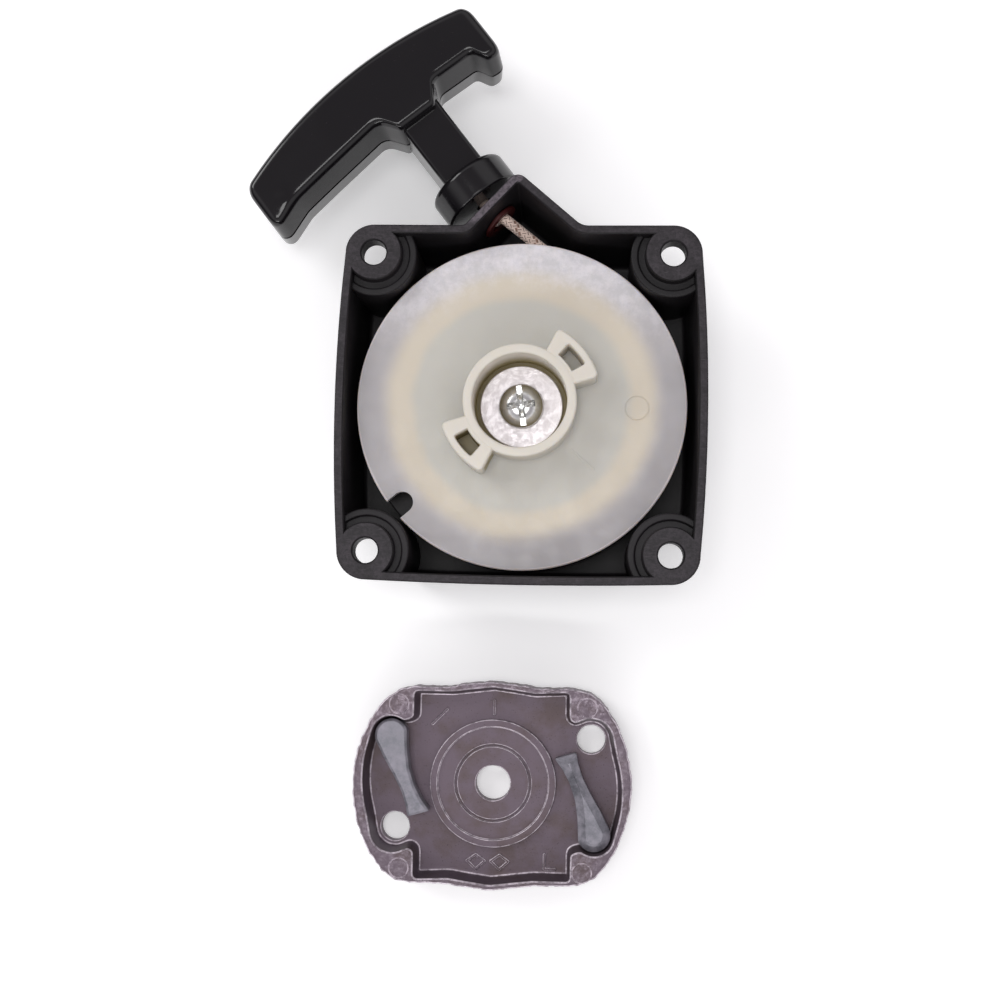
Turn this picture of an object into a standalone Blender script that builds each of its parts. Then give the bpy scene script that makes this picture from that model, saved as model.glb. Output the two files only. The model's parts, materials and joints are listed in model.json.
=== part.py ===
"""Recoil starter for a small two-stroke engine, with its pawl plate lying beside it.

The reel turns about the world Z axis and the housing rests on its outer face at z = 0, open side up.
Lengths below are in millimetres; each shape is drawn in them and scaled to metres as it becomes an object.
"""

import math

import bmesh
import bpy
from mathutils import Matrix, Vector

MM = 0.001
GAP = 0.3  # left between touching pieces

# Housing
HOLE_HALF_PITCH = 33.0
HOLE_RADIUS = 2.75
RIM_MARGIN = 6.35  # from the hole centres out to the rim
RIM_HEIGHT = 27.0
SIDE_BOW = 1.4
BOTTOM_BOW = 0.6
WALL = 2.0
FLOOR = 2.6
SPOUT = ((12.9, 39.3, 4.0), (-1.6, 51.7, 2.4), (-13.1, 39.3, 1.5))  # x, y, corner radius
BOSS_RADIUS = 6.2
BOSS_LEDGE = 24.2
CORNER_LIP = (7.7, 25.0)  # inner radius, top
CORNER_WALL_RADIUS = 9.3
CORNER_POCKET_RADIUS = 7.5
CORNER_POCKET_TOP = 22.4
POST_RADIUS = 6.1
POST_TOP = 18.3
INSERT_RADIUS = 4.0
ROPE_HOLE_RADIUS = 3.6
ROPE_HEIGHT = 17.0
SCREW_HEAD_RADIUS = 5.0
SHEET = 0.8  # thickness of washers and of the spring's cover

# Reel
REEL_RADIUS = 36.6
REEL_BORE = 6.4
LOWER_FLANGE = (12.3, 13.9)
UPPER_FLANGE = (19.9, 21.7)
DRUM_RADIUS = 23.7
HUB_INNER, HUB_OUTER, HUB_TOP = 10.3, 12.4, 29.2
WEB_TOP = 18.3
EAR_RADIUS = 17.8
EAR_ANGLES = (40.0, 220.0)
EAR_WIDTH = 46.0  # degrees
EAR_POCKET = (13.0, 16.1, 10.0, 23.0)  # inner radius, outer radius, half width in degrees, floor
NOTCH_ANGLE, NOTCH_WIDTH, NOTCH_DEPTH_RADIUS = 220.4, 4.8, 33.9

# Rope
ROPE_RADIUS = 1.3
WOUND = (24.0, 28.4)
TANGENT_RADIUS, TANGENT_ANGLE = 30.0, 50.7

# Spring
CASE_WALL = (29.2, 30.6)
CASE_FLOOR = (2.9, 3.9)
CASE_TOP = 10.8
SPRING_RADII = (9.7, 28.2)
SPRING_HEIGHTS = (4.3, 10.3)
SPRING_STRIP = 0.55
SPRING_TURNS = 6.5

# Handle, drawn with its pull axis along its own +Y
HANDLE_TURN = math.radians(38.0)
HANDLE_SHIFT = 21.5  # of the pull axis from the reel axis
HANDLE_HALF = 9.0
STEM_HALF_WIDTH, STEM_HALF_HEIGHT = 5.2, 6.5
COLLAR_RADIUS, COLLAR_START, COLLAR_END = 9.4, 42.9, 50.8
KNOT_POCKET_RADIUS, KNOT_POCKET_START = 4.6, 73.5

# Pawl plate, drawn about its own centre
PLATE_CENTRE = (-5.6, -84.4)
PLATE_HEIGHT = 9.5
PLATE_FLOOR = 3.0
PLATE_RING = (12.7, 14.4, 4.6)  # inner radius, outer radius, top
PLATE_BOSS = (8.2, 8.8, 3.9)  # boss radius, groove radius, top
CRANK_BORE = 4.0
PUSHER_HOLE = (22.25, 10.35, 3.25)
PAWL_PIVOT = (-23.1, 10.55)
PAWL_HEIGHTS = (3.3, 8.3)
PIVOT_PIN_RADIUS = 1.5
FITTED_HEIGHT = 34.3  # of the plate's back face once it is turned over onto the reel


def clear_scene():
    for obj in list(bpy.data.objects):
        bpy.data.objects.remove(obj, do_unlink=True)


def finish_of(name, colour, roughness, metallic=0.0):
    """A Principled material of one plain colour."""
    made = bpy.data.materials.new(name)
    made.use_nodes = True
    shader = made.node_tree.nodes["Principled BSDF"]
    shader.inputs["Base Color"].default_value = (*colour, 1.0)
    shader.inputs["Roughness"].default_value = roughness
    shader.inputs["Metallic"].default_value = metallic
    return made


def to_object(name, shape, finish=None):
    """Turns a bmesh in millimetres into an object in metres; with no finish it is a hidden helper."""
    bmesh.ops.remove_doubles(shape, verts=shape.verts, dist=0.0005)
    bmesh.ops.recalc_face_normals(shape, faces=shape.faces)
    shape.transform(Matrix.Scale(MM, 4))
    mesh = bpy.data.meshes.new(name)
    shape.to_mesh(mesh)
    shape.free()
    obj = bpy.data.objects.new(name, mesh)
    bpy.context.collection.objects.link(obj)
    if finish is None:
        obj.hide_render = True
        obj.display_type = "WIRE"
    else:
        mesh.materials.append(finish)
        mesh.shade_smooth()
        mesh.set_sharp_from_angle(angle=math.radians(35))
    return obj


def combine(obj, shape, operation, label):
    """Adds a Boolean of the given bmesh or helper object; the helper follows the object's placing."""
    helper = shape
    if not isinstance(shape, bpy.types.Object):
        helper = to_object(f"{obj.name}_{label}", shape)
    if helper.parent is None:
        helper.parent = obj
    modifier = obj.modifiers.new(label, "BOOLEAN")
    modifier.operation = operation
    modifier.object = helper
    return helper


def cut(obj, shape, label):
    return combine(obj, shape, "DIFFERENCE", label)


def add(obj, shape, label):
    return combine(obj, shape, "UNION", label)


def round_edges(obj, width, segments=2, angle=40.0):
    bevel = obj.modifiers.new("rounded_edges", "BEVEL")
    bevel.width = width * MM
    bevel.segments = segments
    bevel.limit_method = "ANGLE"
    bevel.angle_limit = math.radians(angle)


def place(obj, x=0.0, y=0.0, z=0.0, turn=0.0, parent=None):
    obj.location = (x * MM, y * MM, z * MM)
    obj.rotation_euler = (0.0, 0.0, turn)
    obj.parent = parent
    return obj


def polar(radius, degrees, centre=(0.0, 0.0)):
    angle = math.radians(degrees)
    return (centre[0] + radius * math.cos(angle), centre[1] + radius * math.sin(angle))


def arc(centre, radius, start, end, steps):
    """Points along an arc, from one angle in degrees to another, both ends included."""
    return [polar(radius, start + (end - start) * i / steps, centre) for i in range(steps + 1)]


def arc_through(first, middle, last, steps):
    """Points along the circle through three points."""
    (ax, ay), (bx, by), (cx, cy) = first, middle, last
    d = 2 * (ax * (by - cy) + bx * (cy - ay) + cx * (ay - by))
    aa, bb, cc = ax * ax + ay * ay, bx * bx + by * by, cx * cx + cy * cy
    x = (aa * (by - cy) + bb * (cy - ay) + cc * (ay - by)) / d
    y = (aa * (cx - bx) + bb * (ax - cx) + cc * (bx - ax)) / d
    start = math.degrees(math.atan2(ay - y, ax - x))
    end = math.degrees(math.atan2(cy - y, cx - x))
    turn = (end - start + 180) % 360 - 180
    return arc((x, y), math.hypot(ax - x, ay - y), start, start + turn, steps)


def rounded(corners, steps=4, closed=True):
    """A polyline through (x, y, radius) corners, each corner with a radius turned into an arc."""
    points = []
    count = len(corners)
    for i, (x, y, radius) in enumerate(corners):
        at_end = not closed and i in (0, count - 1)
        if radius <= 0 or at_end:
            points.append((x, y))
            continue
        here = Vector((x, y))
        back = (Vector(corners[i - 1][:2]) - here).normalized()
        ahead = (Vector(corners[(i + 1) % count][:2]) - here).normalized()
        half = math.acos(max(-1.0, min(1.0, back.dot(ahead)))) / 2
        centre = here + (back + ahead).normalized() * (radius / math.sin(half))
        start = here + back * (radius / math.tan(half)) - centre
        end = here + ahead * (radius / math.tan(half)) - centre
        first = math.degrees(math.atan2(start.y, start.x))
        turn = (math.degrees(math.atan2(end.y, end.x)) - first + 180) % 360 - 180
        points += arc((centre.x, centre.y), radius, first, first + turn, steps)
    return points


def shifted(corners, inset):
    """An open polyline of (x, y, radius) corners moved to its left by the inset, radii kept concentric."""
    moved = []
    for i, (x, y, radius) in enumerate(corners):
        here = Vector((x, y))
        before = here - Vector(corners[i - 1][:2]) if i > 0 else None
        after = Vector(corners[i + 1][:2]) - here if i < len(corners) - 1 else None
        before = (before or after).normalized()
        after = (after or before).normalized()
        sides = Vector((-before.y, before.x)), Vector((-after.y, after.x))
        miter = (sides[0] + sides[1]).normalized()
        spot = here + miter * (inset / miter.dot(sides[0]))
        left_turn = before.x * after.y - before.y * after.x > 0
        new_radius = max(0.5, radius - inset) if left_turn else radius + inset
        moved.append((spot.x, spot.y, new_radius if radius > 0 else 0.0))
    return moved


def prism(outline, low, high):
    """A closed outline extruded straight up."""
    shape = bmesh.new()
    shape.faces.new([shape.verts.new((x, y, low)) for x, y in outline])
    grown = bmesh.ops.extrude_face_region(shape, geom=shape.faces[:])["geom"]
    raised = [item for item in grown if isinstance(item, bmesh.types.BMVert)]
    bmesh.ops.translate(shape, verts=raised, vec=(0, 0, high - low))
    return shape


def loft(sections):
    """A closed solid through (outline, height) sections that have the same number of points."""
    shape = bmesh.new()
    rings = [[shape.verts.new((x, y, z)) for x, y in outline] for outline, z in sections]
    count = len(rings[0])
    for lower, upper in zip(rings, rings[1:]):
        for i in range(count):
            j = (i + 1) % count
            shape.faces.new((lower[i], lower[j], upper[j], upper[i]))
    shape.faces.new(rings[0][::-1])
    shape.faces.new(rings[-1])
    return shape


def turned(profile, steps=64, centre=(0.0, 0.0)):
    """A closed profile of (radius, height) points turned about an upright axis."""
    shape = bmesh.new()
    verts = [shape.verts.new((r, 0.0, z)) for r, z in profile]
    edges = [shape.edges.new((verts[i], verts[(i + 1) % len(verts)])) for i in range(len(verts))]
    bmesh.ops.spin(
        shape, geom=verts + edges, cent=(0, 0, 0), axis=(0, 0, 1), angle=math.tau, steps=steps
    )
    bmesh.ops.remove_doubles(shape, verts=shape.verts, dist=0.001)
    # A profile edge that lies on the axis leaves no face behind, only wire.
    wires = [edge for edge in shape.edges if not edge.link_faces]
    bmesh.ops.delete(shape, geom=wires, context="EDGES")
    bmesh.ops.translate(shape, verts=shape.verts, vec=(*centre, 0.0))
    return shape


def laid_along(shape, start, direction):
    """A shape turned about Z laid along a direction, its z = 0 at the start."""
    turn = Vector((0, 0, 1)).rotation_difference(Vector(direction).normalized())
    shape.transform(Matrix.Translation(start) @ turn.to_matrix().to_4x4())
    return shape


def rod(radius, start, end, steps=16):
    """A round bar between two points."""
    run = Vector(end) - Vector(start)
    profile = [(0, 0), (radius, 0), (radius, run.length), (0, run.length)]
    return laid_along(turned(profile, steps), start, run)


def merged(*shapes):
    """Several separate solids in one bmesh."""
    whole = bmesh.new()
    for shape in shapes:
        mesh = bpy.data.meshes.new("part_of_helper")
        shape.to_mesh(mesh)
        shape.free()
        whole.from_mesh(mesh)
        bpy.data.meshes.remove(mesh)
    return whole


def hole_centres():
    return [(x * HOLE_HALF_PITCH, y * HOLE_HALF_PITCH) for x, y in ((1, -1), (1, 1), (-1, 1), (-1, -1))]


def housing_outline(inset):
    """The rim's outline, anticlockwise: bowed sides, corners concentric with the holes, and the spout."""
    half, edge = HOLE_HALF_PITCH, HOLE_HALF_PITCH + RIM_MARGIN
    shares = [-0.75 + 0.25 * i for i in range(7)]
    corner = RIM_MARGIN - inset
    bottom = [(s * half, -(edge + BOTTOM_BOW * (1 - s * s)) + inset) for s in shares]
    right = [(edge + SIDE_BOW * (1 - s * s) - inset, s * half) for s in shares]
    left = [(-x, y) for x, y in reversed(right)]
    top_line = [(half, edge, 0), *SPOUT, (-half, edge, 0)]
    top = rounded(shifted(top_line, inset), closed=False)[1:-1]
    corners = [arc(c, corner, -90 + 90 * i, 90 * i, 6) for i, c in enumerate(hole_centres())]
    return bottom + corners[0] + right + corners[1] + top + corners[2] + left + corners[3]


def spout_wall():
    """The middle of the rope hole on the spout's outer wall, and the wall's outward direction."""
    (ax, ay, _), (bx, by, _) = SPOUT[1], SPOUT[2]
    along = Vector((ax - bx, ay - by)).normalized()
    outward = Vector((-along.y, along.x, 0.0))
    pull = handle_axis()
    start = handle_point(0.0, 0.0)
    reach = (Vector((ax, ay, ROPE_HEIGHT)) - start).dot(outward) / pull.dot(outward)
    return start + pull * reach, outward


def handle_axis():
    return Vector((-math.sin(HANDLE_TURN), math.cos(HANDLE_TURN), 0.0))


def handle_point(aside, along, height=ROPE_HEIGHT):
    """A point given in the handle's own directions."""
    across = Vector((math.cos(HANDLE_TURN), math.sin(HANDLE_TURN), 0.0))
    spot = across * (HANDLE_SHIFT + aside) + handle_axis() * along
    return Vector((spot.x, spot.y, height))


def make_housing(finish):
    insets = [(3.2, 0.0), (1.9, 0.6), (1.1, 2.4), (0.7, 12.0), (0.0, RIM_HEIGHT - 0.4), (0.35, RIM_HEIGHT)]
    housing = to_object("housing", loft([(housing_outline(i), z) for i, z in insets]), finish)

    cavity = loft([(housing_outline(WALL + 1.0), FLOOR), (housing_outline(WALL), RIM_HEIGHT + 3)])
    lip_radius, lip_top = CORNER_LIP
    corner_profile = [
        (0, -5), (CORNER_WALL_RADIUS, -5), (CORNER_WALL_RADIUS, lip_top), (lip_radius, lip_top),
        (lip_radius, BOSS_LEDGE), (BOSS_RADIUS, BOSS_LEDGE), (BOSS_RADIUS, 40), (0, 40),
    ]
    cavity = to_object("housing_cavity", cavity)
    cut(cavity, merged(*(turned(corner_profile, 24, c) for c in hole_centres())), "corners")
    cut(housing, cavity, "cavity")

    # Outside, each corner is open below its flange so that a screw can reach it.
    pockets = []
    for x, y in hole_centres():
        sx, sy = math.copysign(1, x), math.copysign(1, y)
        curve = [(x - sx * p, y - sy * q) for p, q in arc((0, 0), CORNER_POCKET_RADIUS, 0, 90, 6)]
        far_x, far_y = x + sx * 20, y + sy * 20
        outline = [(curve[0][0], far_y), *curve, (far_x, curve[-1][1]), (far_x, far_y)]
        pockets.append(prism(outline, -2, CORNER_POCKET_TOP))
    cut(housing, merged(*pockets), "pockets")
    holes = [rod(HOLE_RADIUS, (x, y, 15), (x, y, 30), 20) for x, y in hole_centres()]
    cut(housing, merged(*holes), "holes")

    post = [(0, 1.5), (POST_RADIUS, 1.5), (POST_RADIUS, POST_TOP), (0, POST_TOP)]
    add(housing, turned(post, 24), "post")
    cut(housing, rod(INSERT_RADIUS + GAP, (0, 0, 6.5), (0, 0, 25), 20), "post_bore")
    exit_point, outward = spout_wall()
    hole = rod(ROPE_HOLE_RADIUS, exit_point - outward * 8, exit_point + outward * 8, 20)
    cut(housing, hole, "rope_hole")
    return housing


def make_rope_guide(finish):
    """A flanged bush in the spout's wall, its flange inside."""
    exit_point, outward = spout_wall()
    flange = WALL + 1.2
    profile = [
        (2.1, -flange + 0.5), (2.6, -flange - 0.9), (4.5, -flange - 0.9),
        (4.5, -flange), (3.3, -flange), (3.3, 0.3), (2.6, 0.3), (2.1, -0.2),
    ]
    return to_object("rope_guide", laid_along(turned(profile, 20), exit_point, outward), finish)


def make_fixings(steel, brass):
    insert = [(2.7, 7.0), (INSERT_RADIUS, 7.0), (INSERT_RADIUS, 18.0), (2.7, 18.0)]
    to_object("threaded_insert", turned(insert, 16), brass)
    low, high = WEB_TOP + GAP, WEB_TOP + GAP + SHEET
    washer = [(2.7, low), (9.2, low), (9.2, high), (2.7, high)]
    to_object("retaining_washer", turned(washer, 40), steel)
    seat = high + GAP
    dome = [(x, seat + 1.0 + 0.34 * y) for x, y in arc((0, 0), SCREW_HEAD_RADIUS, 0, 90, 4)]
    screw = [(0, 7.5), (2.1, 7.5), (2.4, 7.9), (2.4, seat), (SCREW_HEAD_RADIUS, seat), *dome]
    screw = to_object("retaining_screw", turned(screw, 28), steel)
    arm, half = 2.7, 0.65
    cross = []
    for angle in (20, 110, 200, 290):
        tip = polar(arm, angle)
        cross += [polar(half, angle + side, tip) for side in (-90, 90)] + [polar(half * 1.414, angle + 45)]
    cut(screw, prism(cross, seat + 1.1, seat + 4), "driver_recess")


def make_spring(plastic, steel):
    (wall_inner, wall_outer), (low, high) = CASE_WALL, CASE_FLOOR
    case = [
        (POST_RADIUS + GAP, low), (wall_outer, low), (wall_outer, CASE_TOP),
        (wall_inner, CASE_TOP), (wall_inner, high), (POST_RADIUS + GAP, high),
    ]
    to_object("spring_case", turned(case, 40), plastic)
    cover_low, cover_high = CASE_TOP + GAP, CASE_TOP + GAP + SHEET
    cover = [(9.7, cover_low), (wall_outer, cover_low), (wall_outer, cover_high), (9.7, cover_high)]
    to_object("spring_cover", turned(cover, 40), steel)

    steps = int(SPRING_TURNS * 20)
    inner, outer = [], []
    for i in range(steps + 1):
        radius = SPRING_RADII[0] + (SPRING_RADII[1] - SPRING_RADII[0]) * i / steps
        angle = 360 * SPRING_TURNS * i / steps
        inner.append(polar(radius, angle))
        outer.append(polar(radius + SPRING_STRIP, angle))
    spring = bmesh.new()
    low, high = SPRING_HEIGHTS
    rings = [
        [spring.verts.new((x, y, z)) for (x, y), z in ((a, low), (b, low), (b, high), (a, high))]
        for a, b in zip(inner, outer)
    ]
    for first, second in zip(rings, rings[1:]):
        for i in range(4):
            j = (i + 1) % 4
            spring.faces.new((first[i], first[j], second[j], second[i]))
    spring.faces.new(rings[0][::-1])
    spring.faces.new(rings[-1])
    to_object("recoil_spring", spring, steel)


def make_reel(cream, black):
    low, high = UPPER_FLANGE
    foot = LOWER_FLANGE[1] + GAP
    profile = [
        (REEL_BORE, foot), (HUB_OUTER, foot), (HUB_OUTER, low - 0.7), (20.7, low - 0.7), (20.7, foot),
        (DRUM_RADIUS, foot), (DRUM_RADIUS, low), (REEL_RADIUS, low), (REEL_RADIUS, high - 0.5),
        (REEL_RADIUS - 0.4, high), (HUB_OUTER, high), (HUB_OUTER, HUB_TOP - 0.3), (HUB_OUTER - 0.3, HUB_TOP),
        (HUB_INNER + 0.3, HUB_TOP), (HUB_INNER, HUB_TOP - 0.3), (HUB_INNER, WEB_TOP), (REEL_BORE, WEB_TOP),
    ]
    reel = to_object("reel", turned(profile, 60), cream)
    half = EAR_WIDTH / 2
    pocket_inner, pocket_outer, pocket_half, pocket_floor = EAR_POCKET
    ears, pockets = [], []
    for angle in EAR_ANGLES:
        outer_edge = arc((0, 0), EAR_RADIUS, angle - half, angle + half, 5)
        inner_edge = arc((0, 0), HUB_INNER + 0.8, angle + half, angle - half, 5)
        ears.append(prism(outer_edge + inner_edge, low + 0.6, HUB_TOP - 0.02))
        outer_edge = arc((0, 0), pocket_outer, angle - pocket_half, angle + pocket_half, 2)
        inner_edge = arc((0, 0), pocket_inner, angle + pocket_half, angle - pocket_half, 2)
        pockets.append(prism(outer_edge + inner_edge, pocket_floor, HUB_TOP + 3))
    add(reel, merged(*ears), "ears")
    cut(reel, merged(*pockets), "ear_pockets")
    end = polar(NOTCH_DEPTH_RADIUS, NOTCH_ANGLE)
    round_end = arc(end, NOTCH_WIDTH / 2, NOTCH_ANGLE + 90, NOTCH_ANGLE + 270, 6)
    mouth = [
        polar(NOTCH_WIDTH / 2, NOTCH_ANGLE + side, polar(REEL_RADIUS + 3, NOTCH_ANGLE)) for side in (270, 90)
    ]
    cut(reel, prism(round_end + mouth, low - 1, high + 1), "rim_notch")
    cut(reel, rod(1.6, (19.0, 0, 17.0), (26.0, 0, 17.0), 12), "rope_hole")

    low, high = LOWER_FLANGE
    bottom = SPRING_HEIGHTS[0]
    profile = [
        (REEL_BORE, bottom), (9.1, bottom), (9.1, low),
        (REEL_RADIUS, low), (REEL_RADIUS, high), (REEL_BORE, high),
    ]
    flange = to_object("reel_flange", turned(profile, 60), black)
    slot = [(8.0, -0.7), (9.6, -0.7), (9.6, 0.7), (8.0, 0.7)]
    cut(flange, prism(slot, bottom - 1, low - 1.2), "spring_slot")


def make_knot(name, radius, centre, finish):
    """A pulled-up overhand knot's outer shape."""
    shape = bmesh.new()
    bmesh.ops.create_icosphere(shape, subdivisions=2, radius=radius)
    bmesh.ops.translate(shape, verts=shape.verts, vec=centre)
    return to_object(name, shape, finish)


def make_rope(finish):
    low, high = LOWER_FLANGE[1] + GAP, UPPER_FLANGE[0] - GAP
    (inner, outer), chamfer = WOUND, 1.1
    profile = [
        (inner, low), (outer - chamfer, low), (outer, low + chamfer),
        (outer, high - chamfer), (outer - chamfer, high), (inner, high),
    ]
    to_object("rope_wound", turned(profile, 40), finish)
    make_knot("reel_rope_knot", 2.1, (16.6, 0.0, 16.7), finish)

    exit_point, outward = spout_wall()
    start = Vector((*polar(TANGENT_RADIUS, TANGENT_ANGLE), ROPE_HEIGHT))
    end = exit_point - outward * (WALL + 3.0)
    to_object("rope_run", rod(ROPE_RADIUS, start, end), finish)
    inside = handle_point(0, 0) + handle_axis() * ((exit_point - handle_point(0, 0)).length - WALL - 1.0)
    knot_seat = handle_point(0, KNOT_POCKET_START + 1.6)
    to_object("rope_lead", rod(ROPE_RADIUS, inside, knot_seat), finish)


def handle_outline():
    """The T-bar seen flat: a convex outer edge, a waisted inner edge, and the long arm at -X."""
    inner = [
        (-41.6, 64.6, 1.2), (-37.5, 65.6, 6.0), (-24.5, 69.6, 14.0), (-9.8, 70.6, 4.0), (-5.6, 65.3, 0.8),
        (5.6, 65.3, 0.8), (7.6, 71.0, 2.5), (17.4, 71.0, 2.5), (20.2, 66.6, 1.2), (22.6, 66.0, 1.0),
    ]
    outer = arc_through((20.4, 81.2), (-6.0, 84.2), (-40.0, 77.4), 14)
    corners = inner + [(23.3, 71.0, 0.0), (22.4, 79.6, 0.0)] + [(x, y, 0.0) for x, y in outer]
    return rounded(corners + [(-41.4, 75.6, 0.0)], steps=3)


def make_handle(black, steel, rope):
    low, high = ROPE_HEIGHT - HANDLE_HALF, ROPE_HEIGHT + HANDLE_HALF
    handle = to_object("pull_handle", prism(handle_outline(), low, high), black)
    round_edges(handle, 1.3)
    stem_low, stem_high = ROPE_HEIGHT - STEM_HALF_HEIGHT, ROPE_HEIGHT + STEM_HALF_HEIGHT
    half = STEM_HALF_WIDTH
    stem = prism([(-half, 46), (half, 46), (half, 67.5), (-half, 67.5)], stem_low, stem_high)
    add(handle, stem, "stem")
    length = COLLAR_END - COLLAR_START
    collar_profile = [
        (0, 0), (COLLAR_RADIUS - 0.6, 0), (COLLAR_RADIUS, 0.6), (COLLAR_RADIUS, length - 2.2),
        (COLLAR_RADIUS - 1.0, length - 0.6), (COLLAR_RADIUS - 3.0, length), (0, length),
    ]
    collar = laid_along(turned(collar_profile, 28), (0, COLLAR_START, ROPE_HEIGHT), (0, 1, 0))
    for side in (-1, 1):
        flat = Vector((0, 0, ROPE_HEIGHT + side * (HANDLE_HALF - 0.05)))
        sliced = bmesh.ops.bisect_plane(
            collar, geom=collar.verts[:] + collar.edges[:] + collar.faces[:],
            plane_co=flat, plane_no=(0, 0, side), clear_outer=True,
        )
        rim = [item for item in sliced["geom_cut"] if isinstance(item, bmesh.types.BMEdge)]
        bmesh.ops.edgeloop_fill(collar, edges=rim)
    add(handle, collar, "collar")
    bore = rod(2.1, (0, COLLAR_START - 5, ROPE_HEIGHT), (0, KNOT_POCKET_START + 2, ROPE_HEIGHT), 14)
    cut(handle, bore, "rope_bore")
    pocket = rod(KNOT_POCKET_RADIUS, (0, KNOT_POCKET_START, ROPE_HEIGHT), (0, 90, ROPE_HEIGHT), 24)
    cut(handle, pocket, "knot_pocket")
    shift = handle_point(0, 0)
    place(handle, shift.x, shift.y, 0.0, HANDLE_TURN)

    washer = [(1.6, 0), (4.2, 0), (4.2, SHEET), (1.6, SHEET)]
    seat = (0, KNOT_POCKET_START + GAP, ROPE_HEIGHT)
    washer = to_object("knot_washer", laid_along(turned(washer, 20), seat, (0, 1, 0)), steel)
    cap = [(0, 0), (4.3, 0), (4.3, 1.6), (3.6, 2.1), (0, 2.4)]
    cap = laid_along(turned(cap, 20), (0, 81.4, ROPE_HEIGHT), (0, 1, 0))
    cap = to_object("handle_cap", cap, black)
    knot = make_knot("handle_rope_knot", 2.9, (0, KNOT_POCKET_START + 4.9, ROPE_HEIGHT), rope)
    for piece in (washer, cap, knot):
        place(piece, shift.x, shift.y, 0.0, HANDLE_TURN)


def plate_outline(inset):
    """The plate seen flat: crowned sides, rounded corners and a gentle bulge in each long edge."""
    side = arc_through((26.6, -16.4), (31.6, 0.0), (26.6, 16.8), 8)
    corner = [(24.6, 19.3), (22.8, 20.8), (20.6, 21.7), (18.0, 22.1)]
    bulge = [(10.5, 22.0), (6.5, 22.7), (0.0, 23.3), (-6.5, 22.6), (-10.5, 22.0)]
    far_corner = [(-17.5, 22.0), (-21.0, 21.4), (-24.2, 19.4)]
    half = side + corner + bulge + far_corner
    points = half + [(-x, -y) for x, y in half]
    scale_x, scale_y = 1 - inset / 31.6, 1 - inset / 23.3
    return [(x * scale_x, y * scale_y) for x, y in points]


def plate_cavity_outline():
    """The open inside of the plate: a long middle between four corner blocks, with room for each pawl."""
    hole_x, hole_y, _ = PUSHER_HOLE
    head_x, head_y = -PAWL_PIVOT[0], -PAWL_PIVOT[1]
    head_pocket = arc((head_x, head_y), 4.45, -130, -20, 8)
    side = arc_through((28.0, -9.4), (29.2, 0.5), (27.4, 8.6), 6)[1:-1]
    hole_pocket = arc((hole_x, hole_y), 5.0, 15, 118, 8)
    block = [(18.6, 14.2), (17.5, 14.8), (17.3, 15.8), (17.3, 20.4), (16.7, 21.0)]
    bulge = [(9.5, 20.6), (5.5, 21.2), (0.0, 21.9), (-5.5, 21.2), (-9.5, 20.7)]
    far_block = [(-17.4, 20.7), (-17.9, 20.2), (-17.9, 15.0), (-18.6, 14.4)]
    half = head_pocket + side + hole_pocket + block + bulge + far_block
    return half + [(-x, -y) for x, y in half]


def make_pawl_plate(alloy):
    sections = [(0.7, 0.0), (0.0, 0.7), (0.0, PLATE_HEIGHT - 0.6), (0.6, PLATE_HEIGHT)]
    plate = to_object("pawl_plate", loft([(plate_outline(i), z) for i, z in sections]), alloy)
    cut(plate, prism(plate_cavity_outline(), PLATE_FLOOR, PLATE_HEIGHT + 3), "cavity")
    ring_inner, ring_outer, ring_top = PLATE_RING
    boss, groove, boss_top = PLATE_BOSS
    middle = [
        (0, 1.5), (ring_outer, 1.5), (ring_outer, ring_top - 0.3), (ring_outer - 0.3, ring_top),
        (ring_inner + 0.3, ring_top), (ring_inner, ring_top - 0.3), (ring_inner, boss_top),
        (groove, boss_top), (groove, boss_top - 0.7), (boss, boss_top - 0.7), (boss, boss_top),
        (0, boss_top),
    ]
    add(plate, turned(middle, 40), "middle")
    x, y, radius = PUSHER_HOLE
    holes = [rod(radius, (sign * x, sign * y, -2), (sign * x, sign * y, 6), 20) for sign in (1, -1)]
    holes.append(rod(CRANK_BORE, (0, 0, -2), (0, 0, 8), 24))
    cut(plate, merged(*holes), "holes")
    sockets = [
        rod(PIVOT_PIN_RADIUS + GAP, (sign * PAWL_PIVOT[0], sign * PAWL_PIVOT[1], 1.0),
            (sign * PAWL_PIVOT[0], sign * PAWL_PIVOT[1], 5.0), 14)
        for sign in (1, -1)
    ]
    cut(plate, merged(*sockets), "pivot_sockets")
    return plate


def pawl_outline():
    """A pawl about its pivot: round head, narrow waist and a flared tip."""
    tip_inner, tip_outer = (9.05, -16.7), (4.15, -18.1)
    head = arc((0, 0), 3.75, 22, 218, 12)
    outer_side = [(-1.6, -5.0), (0.8, -9.0), (2.7, -12.6), (3.7, -15.6)]
    inner_side = [(7.2, -14.3), (5.6, -11.4), (4.3, -7.6), (3.7, -3.6)]
    return head + outer_side + [tip_outer, tip_inner] + inner_side


def make_pawls(alloy, plate):
    for name, sign, turn in (("pawl_left", 1, 0.0), ("pawl_right", -1, math.pi)):
        low, high = PAWL_HEIGHTS
        pawl = to_object(name, prism(pawl_outline(), low, high), alloy)
        add(pawl, rod(PIVOT_PIN_RADIUS, (0, 0, 1.3), (0, 0, low + 1), 16), "pivot_pin")
        place(pawl, sign * PAWL_PIVOT[0], sign * PAWL_PIVOT[1], 0.0, turn, plate)


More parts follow.
